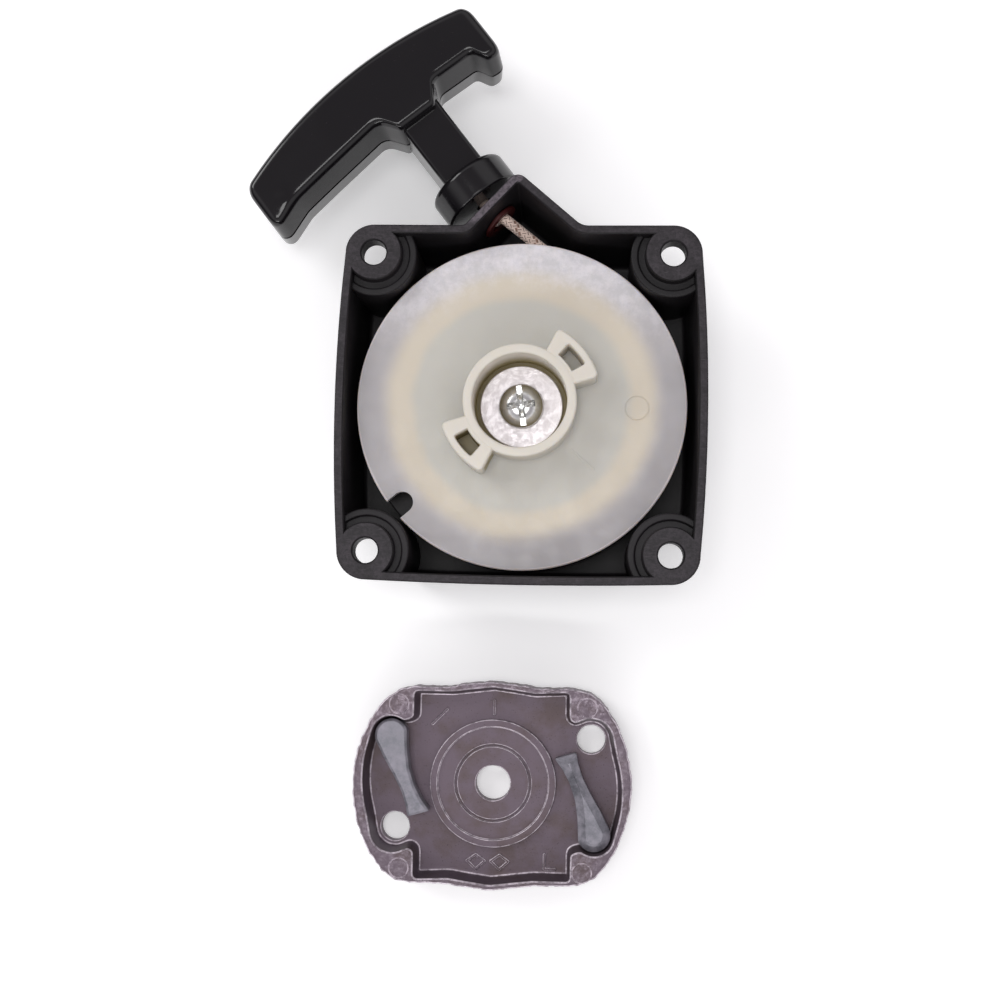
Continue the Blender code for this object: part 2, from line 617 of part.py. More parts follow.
def main():
    clear_scene()
    nylon = finish_of("black_nylon", (0.035, 0.033, 0.036), 0.62)
    gloss = finish_of("gloss_black", (0.03, 0.028, 0.031), 0.32)
    cream = finish_of("cream_nylon", (0.72, 0.68, 0.60), 0.45)
    red = finish_of("red_plastic", (0.16, 0.012, 0.01), 0.4)
    alloy = finish_of("cast_alloy", (0.24, 0.22, 0.25), 0.42, 0.9)
    steel = finish_of("bright_steel", (0.75, 0.74, 0.75), 0.25, 1.0)
    spring_steel = finish_of("spring_steel", (0.28, 0.29, 0.32), 0.35, 1.0)
    brass = finish_of("brass", (0.62, 0.45, 0.18), 0.3, 1.0)
    rope = finish_of("braided_rope", (0.55, 0.47, 0.40), 0.85)

    make_housing(nylon)
    make_rope_guide(red)
    make_fixings(steel, brass)
    make_spring(nylon, spring_steel)
    make_reel(cream, nylon)
    make_rope(rope)
    make_handle(gloss, steel, rope)

    plate_hinge = bpy.data.objects.new("plate_hinge", None)
    bpy.context.collection.objects.link(plate_hinge)
    place(plate_hinge, PLATE_CENTRE[0] / 2, PLATE_CENTRE[1] / 2, FITTED_HEIGHT / 2)
    plate = make_pawl_plate(alloy)
    place(plate, PLATE_CENTRE[0] / 2, PLATE_CENTRE[1] / 2, -FITTED_HEIGHT / 2, 0.0, plate_hinge)
    make_pawls(alloy, plate)


main()
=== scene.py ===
import json
import math

import bmesh
import bpy
import numpy as np
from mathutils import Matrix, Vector


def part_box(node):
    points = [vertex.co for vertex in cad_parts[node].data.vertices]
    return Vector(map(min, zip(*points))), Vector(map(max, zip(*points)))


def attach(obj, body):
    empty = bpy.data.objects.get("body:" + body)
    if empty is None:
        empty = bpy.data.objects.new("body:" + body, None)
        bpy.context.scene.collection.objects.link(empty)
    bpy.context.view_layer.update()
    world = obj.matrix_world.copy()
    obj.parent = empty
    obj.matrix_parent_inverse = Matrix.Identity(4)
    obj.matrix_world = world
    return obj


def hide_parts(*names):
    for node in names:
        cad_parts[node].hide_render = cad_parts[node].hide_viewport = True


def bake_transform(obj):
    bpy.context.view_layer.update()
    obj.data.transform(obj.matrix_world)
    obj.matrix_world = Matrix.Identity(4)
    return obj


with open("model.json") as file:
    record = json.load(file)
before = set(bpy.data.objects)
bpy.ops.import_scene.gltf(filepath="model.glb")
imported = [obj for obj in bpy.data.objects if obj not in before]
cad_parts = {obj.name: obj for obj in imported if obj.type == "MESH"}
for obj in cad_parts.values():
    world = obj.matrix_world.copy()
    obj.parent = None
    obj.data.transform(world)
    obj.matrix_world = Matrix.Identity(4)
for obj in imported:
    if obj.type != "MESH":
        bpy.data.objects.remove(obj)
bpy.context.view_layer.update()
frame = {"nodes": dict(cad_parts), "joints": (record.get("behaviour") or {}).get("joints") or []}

mm = 0.001  # shapes are drawn in millimetres


def boxOf(node):  # lowest and highest corner of a node, in millimetres
    low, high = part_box(node)
    return np.array(low) / mm, np.array(high) / mm


eye = {"place": (14.67, -50.09, 327.66), "turn": (0.094, 0.061, 0.015), "lens": 50.35}
cameraData = bpy.data.cameras.new("camera")
cameraData.lens = eye["lens"]
cameraData.sensor_width = 36.0
cameraData.clip_start = 0.01
camera = bpy.data.objects.new("camera", cameraData)
bpy.context.scene.collection.objects.link(camera)
camera.rotation_mode = "ZYX"
camera.location = [v * mm for v in eye["place"]]
camera.rotation_euler = eye["turn"]
bpy.context.scene.camera = camera


def arc(centre, radius, start, end, steps):
    # centre plus radius times (cos, sin) of an angle that runs evenly from start to end, in degrees
    angle = np.radians(np.linspace(start, end, steps + 1))
    return np.stack([centre[0] + radius * np.cos(angle), centre[1] + radius * np.sin(angle)], 1)


def circleThrough(first, middle, last):
    # the circle through three points: its centre is where the two perpendicular bisectors meet
    a, b, c = (np.array(p, float) for p in (first, middle, last))
    sides = 2 * np.array([b - a, c - a])
    centre = np.linalg.solve(sides, [b @ b - a @ a, c @ c - a @ a])
    return centre, np.linalg.norm(a - centre)


def arcThrough(first, middle, last, steps):
    # the shorter arc of that circle, from the first point to the last
    centre, radius = circleThrough(first, middle, last)
    start = math.degrees(math.atan2(*(np.array(first, float) - centre)[::-1]))
    turn = (math.degrees(math.atan2(*(np.array(last, float) - centre)[::-1])) - start + 180) % 360 - 180
    return arc(centre, radius, start, start + turn, steps)


def rounded(corners, closed=True, steps=5):
    # each (x, y, radius) corner becomes the arc that touches both of its sides
    pieces = []
    count = len(corners)
    for i, (x, y, radius) in enumerate(corners):
        here = np.array([x, y], float)
        if radius <= 0 or (not closed and i in (0, count - 1)):
            pieces.append(here[None])
            continue
        back = np.array(corners[i - 1][:2]) - here
        ahead = np.array(corners[(i + 1) % count][:2]) - here
        back, ahead = back / np.linalg.norm(back), ahead / np.linalg.norm(ahead)
        half = math.acos(np.clip(back @ ahead, -1, 1)) / 2
        middle = (back + ahead) / np.linalg.norm(back + ahead)
        centre = here + middle * radius / math.sin(half)
        first = here + back * radius / math.tan(half)
        last = here + ahead * radius / math.tan(half)
        start = math.degrees(math.atan2(*(first - centre)[::-1]))
        turn = (math.degrees(math.atan2(*(last - centre)[::-1])) - start + 180) % 360 - 180
        pieces.append(arc(centre, radius, start, start + turn, steps))
    return np.concatenate(pieces)


def evenly(path, spacing, closed=True):
    # the same line with its points an equal length apart
    loop = np.concatenate([path, path[:1]]) if closed else path
    length = np.concatenate([[0], np.cumsum(np.linalg.norm(np.diff(loop, axis=0), axis=1))])
    count = max(8, int(round(length[-1] / spacing)))
    at = np.linspace(0, length[-1], count, endpoint=not closed)
    return np.stack([np.interp(at, length, loop[:, i]) for i in range(loop.shape[1])], 1)


def softened(path, times):
    # each point moves to a quarter of its neighbours plus half of itself, a few times over
    for _ in range(times):
        path = path / 2 + (np.roll(path, 1, 0) + np.roll(path, -1, 0)) / 4
    return path


def outwardOf(path):
    # unit normals of a closed anticlockwise line: its tangent turned a quarter to the right
    tangent = np.roll(path, -1, 0) - np.roll(path, 1, 0)
    normal = np.stack([tangent[:, 1], -tangent[:, 0]], 1)
    return normal / np.linalg.norm(normal, axis=1)[:, None]


def lathe(profile, steps=96, start=0.0):
    # (radius, height) points turned about +Z: (r cos t, r sin t, h)
    angle = math.radians(start) + np.linspace(0, math.tau, steps, endpoint=False)
    r, h = profile[:, 0][:, None], profile[:, 1][:, None]
    return np.stack([r * np.cos(angle), r * np.sin(angle), h + 0 * angle], 2)


def grown(path, outward):
    # outline + outward x normal; where that folds over itself, straight on between the good points
    spots = path + outward * outwardOf(path)
    gap = np.sqrt(((spots[:, None] - path[None]) ** 2).sum(2)).min(1)
    good = np.flatnonzero(gap > abs(outward) * 0.97 - 1e-6)
    every = np.arange(len(path))
    return np.stack([np.interp(every, good, spots[good, i], period=len(path)) for i in range(2)], 1)


def carried(path, profile):
    # a profile of (outward, height) carried round a closed outline
    rows = [np.column_stack([grown(path, out), np.full(len(path), height)]) for out, height in profile]
    return np.array(rows)


def stacked(outlineAt, profile):
    # an outline that depends on its inset, at each (inset, height) of a profile
    rows = [np.column_stack([outlineAt(i), np.full(len(outlineAt(i)), h)]) for i, h in profile]
    return np.array(rows)


def tube(centreline, radius, around=16):
    # a ring of the given radius, square to the line's direction, at each point of the line
    along = np.gradient(centreline, axis=0)
    along /= np.linalg.norm(along, axis=1)[:, None]
    side = np.cross(along, [0.0, 0.0, 1.0])
    side /= np.linalg.norm(side, axis=1)[:, None]
    up = np.cross(side, along)
    angle = np.linspace(0, math.tau, around, endpoint=False)[None, :, None]
    ring = np.cos(angle) * side[:, None] + np.sin(angle) * up[:, None]
    return centreline[:, None] + np.broadcast_to(np.asarray(radius), ring.shape[:2])[..., None] * ring


def moved(points, place=(0, 0, 0), turn=0.0):
    # turned about +Z by an angle in degrees, then shifted
    c, s = math.cos(math.radians(turn)), math.sin(math.radians(turn))
    return points @ np.array([[c, s, 0], [-s, c, 0], [0, 0, 1.0]]) + np.array(place, float)


def laidAlong(points, start, direction):
    # a shape made about +Z with its z = 0 at start and its +Z along a level direction
    z = np.array(direction, float) / np.linalg.norm(direction)
    y = np.array([0.0, 0.0, 1.0])
    x = np.cross(y, z)
    return points @ np.array([x, y, z]) + np.array(start, float)


def gridFaces(rows, columns, wrapRows, first):
    r = np.arange(rows if wrapRows else rows - 1)[:, None]
    c = np.arange(columns)[None, :]
    r2, c2 = (r + 1) % rows, (c + 1) % columns
    quads = np.stack([r * columns + c, r * columns + c2, r2 * columns + c2, r2 * columns + c], 2)
    return (quads.reshape(-1, 4) + first).tolist()


def capRows(ring):
    # a flat end: the ring drawn in towards its own middle in a few steps, or None if that middle
    # doesn't see all of it
    middle = ring.mean(0)
    spokes = ring - middle
    turn = np.cross(spokes, np.roll(spokes, -1, 0)) @ np.cross(spokes, np.roll(spokes, -1, 0)).sum(0)
    if turn.min() <= 0:
        return None
    shares = np.array([0.8, 0.55, 0.3, 0.1])
    return middle + shares[:, None, None] * spokes[None]


def solid(name, surfaces, rings=False):
    # closed solids from grids whose columns close; rings also close row to row, the others get flat ends
    points, faces, first = [], [], 0
    for grid in surfaces:
        ends = []
        if not rings:
            low, high = capRows(grid[0]), capRows(grid[-1])
            parts = ([] if low is None else [low[::-1]]) + [grid] + ([] if high is None else [high])
            grid = np.concatenate(parts)
            ends = [0, grid.shape[0] - 1]
        rows, columns = grid.shape[:2]
        points.append(grid.reshape(-1, 3))
        faces += gridFaces(rows, columns, rings, first)
        for row in ends:
            loop = list(range(first + row * columns, first + (row + 1) * columns))
            faces.append(loop[::-1] if row == 0 else loop)
        first += rows * columns
    mesh = bpy.data.meshes.new(name)
    mesh.from_pydata((np.concatenate(points) * mm).tolist(), [], faces)
    work = bmesh.new()
    work.from_mesh(mesh)
    bmesh.ops.remove_doubles(work, verts=work.verts, dist=2e-6)
    bmesh.ops.dissolve_degenerate(work, edges=work.edges, dist=1e-6)
    bmesh.ops.recalc_face_normals(work, faces=work.faces)
    work.to_mesh(mesh)
    work.free()
    obj = bpy.data.objects.new(name, mesh)
    bpy.context.scene.collection.objects.link(obj)
    return obj


def combine(obj, tool, how="DIFFERENCE"):
    # a Boolean, applied at once; the tool is used up
    modifier = obj.modifiers.new(how, "BOOLEAN")
    modifier.operation, modifier.object, modifier.solver = how, tool, "MANIFOLD"
    result = evaluated(obj)
    if len(result.polygons) == 0 or len(result.polygons) == len(obj.data.polygons):
        modifier.solver = "EXACT"
        result = evaluated(obj)
        print("  exact solver for", obj.name, "and", tool.name)
    obj.modifiers.clear()
    obj.data = result
    bpy.data.objects.remove(tool, do_unlink=True)
    return obj


def evaluated(obj):
    graph = bpy.context.evaluated_depsgraph_get()
    graph.update()
    return bpy.data.meshes.new_from_object(obj.evaluated_get(graph))


def finished(obj, material, body, slot, *nodes, sharp=32):
    mesh = obj.data
    mesh.materials.clear()
    mesh.materials.append(material)
    mesh.shade_smooth()
    mesh.set_sharp_from_angle(angle=math.radians(sharp))
    weighted = obj.modifiers.new("flatter_normals", "WEIGHTED_NORMAL")
    weighted.keep_sharp = True
    if body:
        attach(obj, body)
    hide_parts(*nodes)
    print("  made", obj.name, len(mesh.polygons), "faces")
    return obj


def newGroup(name, inputs, outputs):
    group = bpy.data.node_groups.new(name, "ShaderNodeTree")
    for label, kind, value in inputs:
        socket = group.interface.new_socket(label, in_out="INPUT", socket_type=kind)
        if value is not None:
            socket.default_value = value
    for label, kind in outputs:
        group.interface.new_socket(label, in_out="OUTPUT", socket_type=kind)
    return group, group.nodes.new("NodeGroupInput"), group.nodes.new("NodeGroupOutput")


def node(tree, kind, **settings):
    made = tree.nodes.new(kind)
    for key, value in settings.items():
        setattr(made, key, value)
    return made


def math2(tree, operation, a, b=None, clamp=False):
    # one Math node; a and b are sockets or numbers
    made = node(tree, "ShaderNodeMath", operation=operation, use_clamp=clamp)
    for socket, value in zip(made.inputs, (a, b)):
        if value is None:
            continue
        if isinstance(value, (int, float)):
            socket.default_value = value
        else:
            tree.links.new(value, socket)
    return made.outputs[0]


def noise(tree, vector, scale, detail=3.0, rough=0.55):
    made = node(tree, "ShaderNodeTexNoise")
    for label, value in (("Scale", scale), ("Detail", detail), ("Roughness", rough)):
        if isinstance(value, (int, float)):
            made.inputs[label].default_value = value
        else:
            tree.links.new(value, made.inputs[label])
    tree.links.new(vector, made.inputs["Vector"])
    return made.outputs["Fac"]


def between(tree, value, low, high, toLow=0.0, toHigh=1.0):
    # a smooth step from toLow at low to toHigh at high
    made = node(tree, "ShaderNodeMapRange", interpolation_type="SMOOTHSTEP")
    for label, number in (("From Min", low), ("From Max", high), ("To Min", toLow), ("To Max", toHigh)):
        if isinstance(number, (int, float)):
            made.inputs[label].default_value = number
        else:
            tree.links.new(number, made.inputs[label])
    tree.links.new(value, made.inputs["Value"])
    return made.outputs["Result"]


def grainGroup():
    # fine grain: a coarse and a fine noise added, the fine one at three times the scale
    group, given, out = newGroup(
        "grain", [("Vector", "NodeSocketVector", None), ("Scale", "NodeSocketFloat", 900.0)],
        [("Height", "NodeSocketFloat")])
    coarse = noise(group, given.outputs["Vector"], given.outputs["Scale"], 2.0)
    fineScale = math2(group, "MULTIPLY", given.outputs["Scale"], 3.1)
    fine = noise(group, given.outputs["Vector"], fineScale, 2.0)
    both = math2(group, "ADD", coarse, math2(group, "MULTIPLY", fine, 0.5))
    group.links.new(both, out.inputs["Height"])
    return group


def speckGroup():
    # specks: cells of a Voronoi pattern whose centre is nearer than a noisy radius
    group, given, out = newGroup(
        "specks", [("Vector", "NodeSocketVector", None), ("Scale", "NodeSocketFloat", 500.0),
                   ("Amount", "NodeSocketFloat", 0.2)], [("Mask", "NodeSocketFloat")])
    cells = node(group, "ShaderNodeTexVoronoi")
    group.links.new(given.outputs["Vector"], cells.inputs["Vector"])
    group.links.new(given.outputs["Scale"], cells.inputs["Scale"])
    patches = noise(group, given.outputs["Vector"], math2(group, "MULTIPLY", given.outputs["Scale"], 0.22))
    reach = math2(group, "MULTIPLY", given.outputs["Amount"], patches)
    group.links.new(between(group, math2(group, "SUBTRACT", reach, cells.outputs["Distance"]), 0.0, 0.06),
                    out.inputs["Mask"])
    return group


def scuffGroup():
    # scuffs: two noises stretched along different directions, thresholded into short streaks
    group, given, out = newGroup(
        "scuffs", [("Vector", "NodeSocketVector", None), ("Scale", "NodeSocketFloat", 200.0),
                   ("Amount", "NodeSocketFloat", 0.5)], [("Mask", "NodeSocketFloat")])
    streaks = []
    for turn, stretch in ((0.6, 14.0), (-1.1, 9.0)):
        mapping = node(group, "ShaderNodeMapping")
        mapping.inputs["Rotation"].default_value = (0.0, 0.0, turn)
        mapping.inputs["Scale"].default_value = (1.0, stretch, 1.0)
        group.links.new(given.outputs["Vector"], mapping.inputs["Vector"])
        streaks.append(noise(group, mapping.outputs["Vector"], given.outputs["Scale"], 4.0, 0.6))
    most = math2(group, "MAXIMUM", *streaks)
    floor = math2(group, "SUBTRACT", 0.78, math2(group, "MULTIPLY", given.outputs["Amount"], 0.3))
    group.links.new(between(group, math2(group, "SUBTRACT", most, floor), 0.0, 0.08), out.inputs["Mask"])
    return group


def braidGroup():
    # braid: two families of strands that cross, h = |sin(a)| or |sin(b)|, over or under by turns
    group, given, out = newGroup(
        "braid", [("UV", "NodeSocketVector", None), ("Strands", "NodeSocketFloat", 8.0),
                  ("Pitch", "NodeSocketFloat", 1.0)],
        [("Height", "NodeSocketFloat"), ("Fleck", "NodeSocketFloat")])
    split = node(group, "ShaderNodeSeparateXYZ")
    group.links.new(given.outputs["UV"], split.inputs[0])
    perTurn = math2(group, "MULTIPLY", given.outputs["Strands"], math.pi)
    around = math2(group, "MULTIPLY", split.outputs["X"], perTurn)
    perLength = math2(group, "MULTIPLY", given.outputs["Pitch"], math.pi)
    along = math2(group, "MULTIPLY", split.outputs["Y"], perLength)
    a, b = math2(group, "ADD", around, along), math2(group, "SUBTRACT", around, along)
    sineA, sineB = math2(group, "SINE", a), math2(group, "SINE", b)
    crossing = math2(group, "MULTIPLY", math2(group, "COSINE", a), math2(group, "COSINE", b))
    over = between(group, crossing, -0.35, 0.35)
    high = math2(group, "MULTIPLY", math2(group, "ABSOLUTE", sineA), over)
    low = math2(group, "MULTIPLY", math2(group, "ABSOLUTE", sineB), math2(group, "SUBTRACT", 1.0, over))
    group.links.new(math2(group, "MAXIMUM", high, low), out.inputs["Height"])
    cell = math2(group, "FLOOR", math2(group, "DIVIDE", a, math.pi))
    everyFourth = math2(group, "LESS_THAN", math2(group, "MODULO", math2(group, "ABSOLUTE", cell), 4.0), 0.5)
    fleck = math2(group, "MULTIPLY", everyFourth, over)
    group.links.new(fleck, out.inputs["Fleck"])
    return group


grain, specks, scuffs, braid = grainGroup(), speckGroup(), scuffGroup(), braidGroup()
print("shader groups built")


def newMaterial(name, rough, metallic=0.0, **sockets):
    material = bpy.data.materials.new(name)
    material.use_nodes = True
    tree = material.node_tree
    shader = tree.nodes["Principled BSDF"]
    shader.inputs["Roughness"].default_value = rough
    shader.inputs["Metallic"].default_value = metallic
    for label, value in sockets.items():
        shader.inputs[label.replace("_", " ")].default_value = value
    where = node(tree, "ShaderNodeTexCoord").outputs["Object"]
    return material, tree, shader, where


def placed(tree, group, vector, **values):
    made = node(tree, "ShaderNodeGroup", node_tree=group)
    tree.links.new(vector, made.inputs[0])
    for label, value in values.items():
        made.inputs[label].default_value = value
    return made.outputs


def blended(tree, mask, low, high):
    # a colour between two, by a mask; low and high are colours or sockets
    made = node(tree, "ShaderNodeMix", data_type="RGBA")
    tree.links.new(mask, made.inputs["Factor"])
    for label, value in (("A", low), ("B", high)):
        socket = [s for s in made.inputs if s.name == label and s.type == "RGBA"][0]
        if isinstance(value, tuple):
            socket.default_value = (*value, 1.0)
        else:
            tree.links.new(value, socket)
    return [s for s in made.outputs if s.type == "RGBA"][0]


def bump(tree, shader, height, distance, strength=1.0):
    made = node(tree, "ShaderNodeBump")
    made.inputs["Distance"].default_value = distance * mm
    made.inputs["Strength"].default_value = strength
    tree.links.new(height, made.inputs["Height"])
    tree.links.new(made.outputs["Normal"], shader.inputs["Normal"])


def split3(tree, vector):
    made = node(tree, "ShaderNodeSeparateXYZ")
    tree.links.new(vector, made.inputs[0])
    return made.outputs


def upward(tree):
    # how far a face looks up, in the piece's own directions, so that it stays when the body turns
    return split3(tree, node(tree, "ShaderNodeTexCoord").outputs["Normal"])["Z"]


mouldedNylon = {
    "black": (0.007, 0.006, 0.007), "scuffed": (0.125, 0.106, 0.124), "grain": 1500.0, "rimScuff": 0.62,
    "spoutSlope": -0.9, "spoutLine": (-0.0446, -0.0454), "spoutFrom": (0.039, 0.041),
}


def makeNylon():
    # moulded black nylon: dark grain, with pale scuffs on faces that look up near the rim's height
    material, tree, shader, where = newMaterial("moulded_black_nylon", 0.55, Specular_IOR_Level=0.3)
    rim = boxOf("housing")[1][2] * mm
    top = between(tree, split3(tree, where)["Z"], rim - 0.4 * mm, rim - 0.1 * mm)
    flat = math2(tree, "MULTIPLY", top, between(tree, upward(tree), 0.7, 0.98))
    worn = placed(tree, scuffs, where, Scale=420.0, Amount=mouldedNylon["rimScuff"])["Mask"]
    fine = noise(tree, where, 1300.0, 4.0, 0.75)
    haze = math2(tree, "MULTIPLY", between(tree, noise(tree, where, 260.0, 6.0, 0.7), 0.3, 0.75, 0.08, 0.30),
                 between(tree, fine, 0.3, 0.7, 0.4, 1.4))
    parts = split3(tree, where)
    slope = math2(tree, "MULTIPLY", parts["Y"], mouldedNylon["spoutSlope"])
    leftOfSpout = between(tree, math2(tree, "ADD", parts["X"], slope), *mouldedNylon["spoutLine"])
    spoutWall = math2(tree, "MULTIPLY", leftOfSpout, between(tree, parts["Y"], *mouldedNylon["spoutFrom"]))
    rubbedSpout = math2(tree, "MULTIPLY", spoutWall, between(tree, fine, 0.35, 0.65, 0.25, 1.0))
    haze = math2(tree, "ADD", haze, rubbedSpout)
    mask = math2(tree, "MULTIPLY", flat, math2(tree, "MAXIMUM", math2(tree, "MULTIPLY", worn, 0.34), haze))
    cloud = between(tree, noise(tree, where, 60.0), 0.35, 0.7, 0.0, 0.07)
    mask = math2(tree, "MAXIMUM", mask, cloud)
    colour = blended(tree, mask, mouldedNylon["black"], mouldedNylon["scuffed"])
    tree.links.new(colour, shader.inputs["Base Color"])
    tree.links.new(between(tree, mask, 0.0, 1.0, 0.5, 0.68), shader.inputs["Roughness"])
    height = placed(tree, grain, where, Scale=mouldedNylon["grain"])["Height"]
    bump(tree, shader, height, 0.05, 0.55)
    return material


glossNylon = {"black": (0.006, 0.0052, 0.0064), "dust": (0.05, 0.045, 0.052), "peel": 320.0}


def makeGloss():
    # polished black nylon: a slow orange peel, faint dust, and roughness that drifts with a slow noise
    material, tree, shader, where = newMaterial("polished_black_nylon", 0.15, Specular_IOR_Level=0.42)
    dust = placed(tree, specks, where, Scale=900.0, Amount=0.22)["Mask"]
    fade = math2(tree, "MULTIPLY", dust, between(tree, noise(tree, where, 90.0), 0.45, 0.7, 0.0, 0.5))
    tree.links.new(blended(tree, fade, glossNylon["black"], glossNylon["dust"]), shader.inputs["Base Color"])
    tree.links.new(between(tree, noise(tree, where, 55.0), 0.3, 0.75, 0.11, 0.19), shader.inputs["Roughness"])
    bump(tree, shader, noise(tree, where, glossNylon["peel"], 2.0), 0.02, 0.5)
    return material


creamNylon = {
    # painted light among these colours: painted shade for the front and the hollows, a painted reflection and
    # a painted edge highlight
    "web": (0.53, 0.515, 0.465), "wound": (0.62, 0.555, 0.455), "edge": (0.56, 0.54, 0.55),
    "raised": (0.67, 0.63, 0.56), "deep": (0.27, 0.215, 0.09), "shade": (0.30, 0.28, 0.285),
    "paintedReflection": (0.78, 0.74, 0.76), "rim": (0.86, 0.76, 0.74),
    "woundAt": (22.5, 25.5), "edgeAt": (28.0, 32.5),  # radii in millimetres where the zones change
    "raisedAt": (0.0222, 0.0275), "pocketTop": (0.0283, 0.0262), "pocketFloor": (0.0222, 0.0228),  # heights
}
reelEdge = boxOf("reel")[1][0]


def makeCream():
    # natural nylon: zones by distance from the axis (web, rope ring, thin edge), clouded; painted shade in
    # front, in the hub's bore and in the left claw pocket, a painted reflection behind and a painted edge
    # highlight
    material, tree, shader, where = newMaterial(
        "natural_nylon", 0.42, Subsurface_Weight=0.35, Subsurface_Scale=0.005,
        Subsurface_Radius=(1.0, 0.8, 0.5))
    parts = split3(tree, where)
    flatten = node(tree, "ShaderNodeCombineXYZ")
    tree.links.new(parts["X"], flatten.inputs["X"])
    tree.links.new(parts["Y"], flatten.inputs["Y"])
    distance = node(tree, "ShaderNodeVectorMath", operation="LENGTH")
    tree.links.new(flatten.outputs[0], distance.inputs[0])
    radius = math2(tree, "DIVIDE", distance.outputs["Value"], mm)
    wobble = between(tree, noise(tree, where, 45.0), 0.2, 0.8, -0.7, 0.7)
    reach = math2(tree, "ADD", radius, wobble)
    rope = blended(tree, between(tree, reach, *creamNylon["woundAt"]), creamNylon["web"], creamNylon["wound"])
    edge = blended(tree, between(tree, reach, *creamNylon["edgeAt"]), rope, creamNylon["edge"])
    # painted shade: the outer zone darker towards the front, clouded by a slow noise
    drift = between(tree, noise(tree, where, 30.0, 4.0, 0.6), 0.3, 0.75, 0.55, 1.0)
    front = between(tree, parts["Y"], 0.030, 0.012)
    outer = between(tree, reach, 27.0, 32.5, 0.05, 0.9)
    dark = math2(tree, "MULTIPLY", math2(tree, "MULTIPLY", drift, front), outer)
    shaded = blended(tree, dark, edge, creamNylon["shade"])
    # painted reflection of the overhead light: the outer zone paler towards the back, broken up by a fine
    # noise
    topLight = math2(tree, "MULTIPLY", between(tree, parts["Y"], 0.008, 0.034),
                     math2(tree, "MULTIPLY", between(tree, reach, 24.0, 33.0),
                           between(tree, noise(tree, where, 300.0, 5.0, 0.7), 0.35, 0.7, 0.1, 0.85)))
    bright = blended(tree, topLight, shaded, creamNylon["paintedReflection"])
    # painted highlight: a thin pale line just inside the disc's edge
    paintedEdgeLine = between(tree, radius, reelEdge - 0.55, reelEdge - 0.3)
    bright = blended(tree, math2(tree, "MULTIPLY", paintedEdgeLine, 0.8), bright, creamNylon["rim"])
    raised = blended(tree, between(tree, parts["Z"], *creamNylon["raisedAt"]), bright, creamNylon["raised"])
    # painted shade: darker lower down inside the hub's bore, and in the claw pockets, almost only the
    # lower-left one
    deep = math2(tree, "MULTIPLY", between(tree, parts["Z"], 0.0275, 0.0190),
                 between(tree, radius, 10.9, 10.2))
    pocket = math2(tree, "MULTIPLY", between(tree, radius, 12.2, 13.0), between(tree, radius, 17.0, 16.3))
    underTop = between(tree, parts["Z"], *creamNylon["pocketTop"])
    below = math2(tree, "MULTIPLY", underTop, between(tree, parts["Z"], *creamNylon["pocketFloor"]))
    shady = between(tree, parts["X"], 0.004, -0.004, 0.05, 0.95)
    leftPocketShade = math2(tree, "MULTIPLY", math2(tree, "MULTIPLY", pocket, below), shady)
    inner = blended(tree, math2(tree, "MAXIMUM", deep, leftPocketShade), raised, creamNylon["deep"])
    tree.links.new(inner, shader.inputs["Base Color"])
    rough = between(tree, noise(tree, where, 220.0, 4.0), 0.3, 0.7, 0.34, 0.52)
    tree.links.new(rough, shader.inputs["Roughness"])
    fine = placed(tree, grain, where, Scale=700.0)["Height"]
    marks = placed(tree, scuffs, where, Scale=160.0, Amount=0.25)["Mask"]
    bump(tree, shader, math2(tree, "ADD", fine, math2(tree, "MULTIPLY", marks, 0.5)), 0.03, 0.5)
    return material


# the bright colour is a painted highlight for the sloping edges; the others are the metal's own tones,
# rubbing and pits
castAlloy = {"grey": (0.130, 0.100, 0.124), "brown": (0.104, 0.076, 0.080), "bright": (0.78, 0.70, 0.77),
             "rubbed": (0.20, 0.165, 0.195), "pit": (0.04, 0.03, 0.034)}


def makeAlloy():
    # die-cast alloy: cloudy grey and brown, lighter rubbed faces at the top height, painted highlights on the
    # sloping edges, small dark pits
    material, tree, shader, where = newMaterial("die_cast_alloy", 0.45, 0.55)
    top = boxOf("pawl_plate")[1][2]
    stain = between(tree, noise(tree, where, 110.0, 5.0, 0.65), 0.4, 0.68)
    base = blended(tree, stain, castAlloy["grey"], castAlloy["brown"])
    height = split3(tree, where)["Z"]
    topFace = between(tree, height, (top - 0.9) * mm, (top - 0.2) * mm)
    rubbed = math2(tree, "MULTIPLY", topFace, between(tree, noise(tree, where, 900.0, 6.0, 0.8), 0.42, 0.68))
    # painted highlight: faces that slope, such as rounded edges, get a pale and less metallic colour in
    # broken patches
    tilt = upward(tree)
    slope = math2(tree, "MULTIPLY", between(tree, tilt, 0.985, 0.90), between(tree, tilt, 0.30, 0.55))
    broken = between(tree, noise(tree, where, 420.0, 6.0, 0.8), 0.36, 0.62, 0.25, 1.0)
    edges = math2(tree, "MULTIPLY", slope, broken)
    metal = blended(tree, edges, blended(tree, rubbed, base, castAlloy["rubbed"]), castAlloy["bright"])
    # the roughness follows both the rubbed top and the painted edge highlights
    worn = math2(tree, "MAXIMUM", rubbed, edges)
    tree.links.new(between(tree, edges, 0.0, 1.0, 0.55, 0.1), shader.inputs["Metallic"])
    pits = placed(tree, specks, where, Scale=1500.0, Amount=0.36)["Mask"]
    pitted = math2(tree, "MULTIPLY", pits, 0.5)
    tree.links.new(blended(tree, pitted, metal, castAlloy["pit"]), shader.inputs["Base Color"])
    tree.links.new(between(tree, worn, 0.0, 1.0, 0.5, 0.32), shader.inputs["Roughness"])
    lumps = placed(tree, grain, where, Scale=620.0)["Height"]
    marks = placed(tree, scuffs, where, Scale=240.0, Amount=0.4)["Mask"]
    bump(tree, shader, math2(tree, "SUBTRACT", lumps, math2(tree, "MULTIPLY", marks, 0.4)), 0.06, 0.6)
    return material


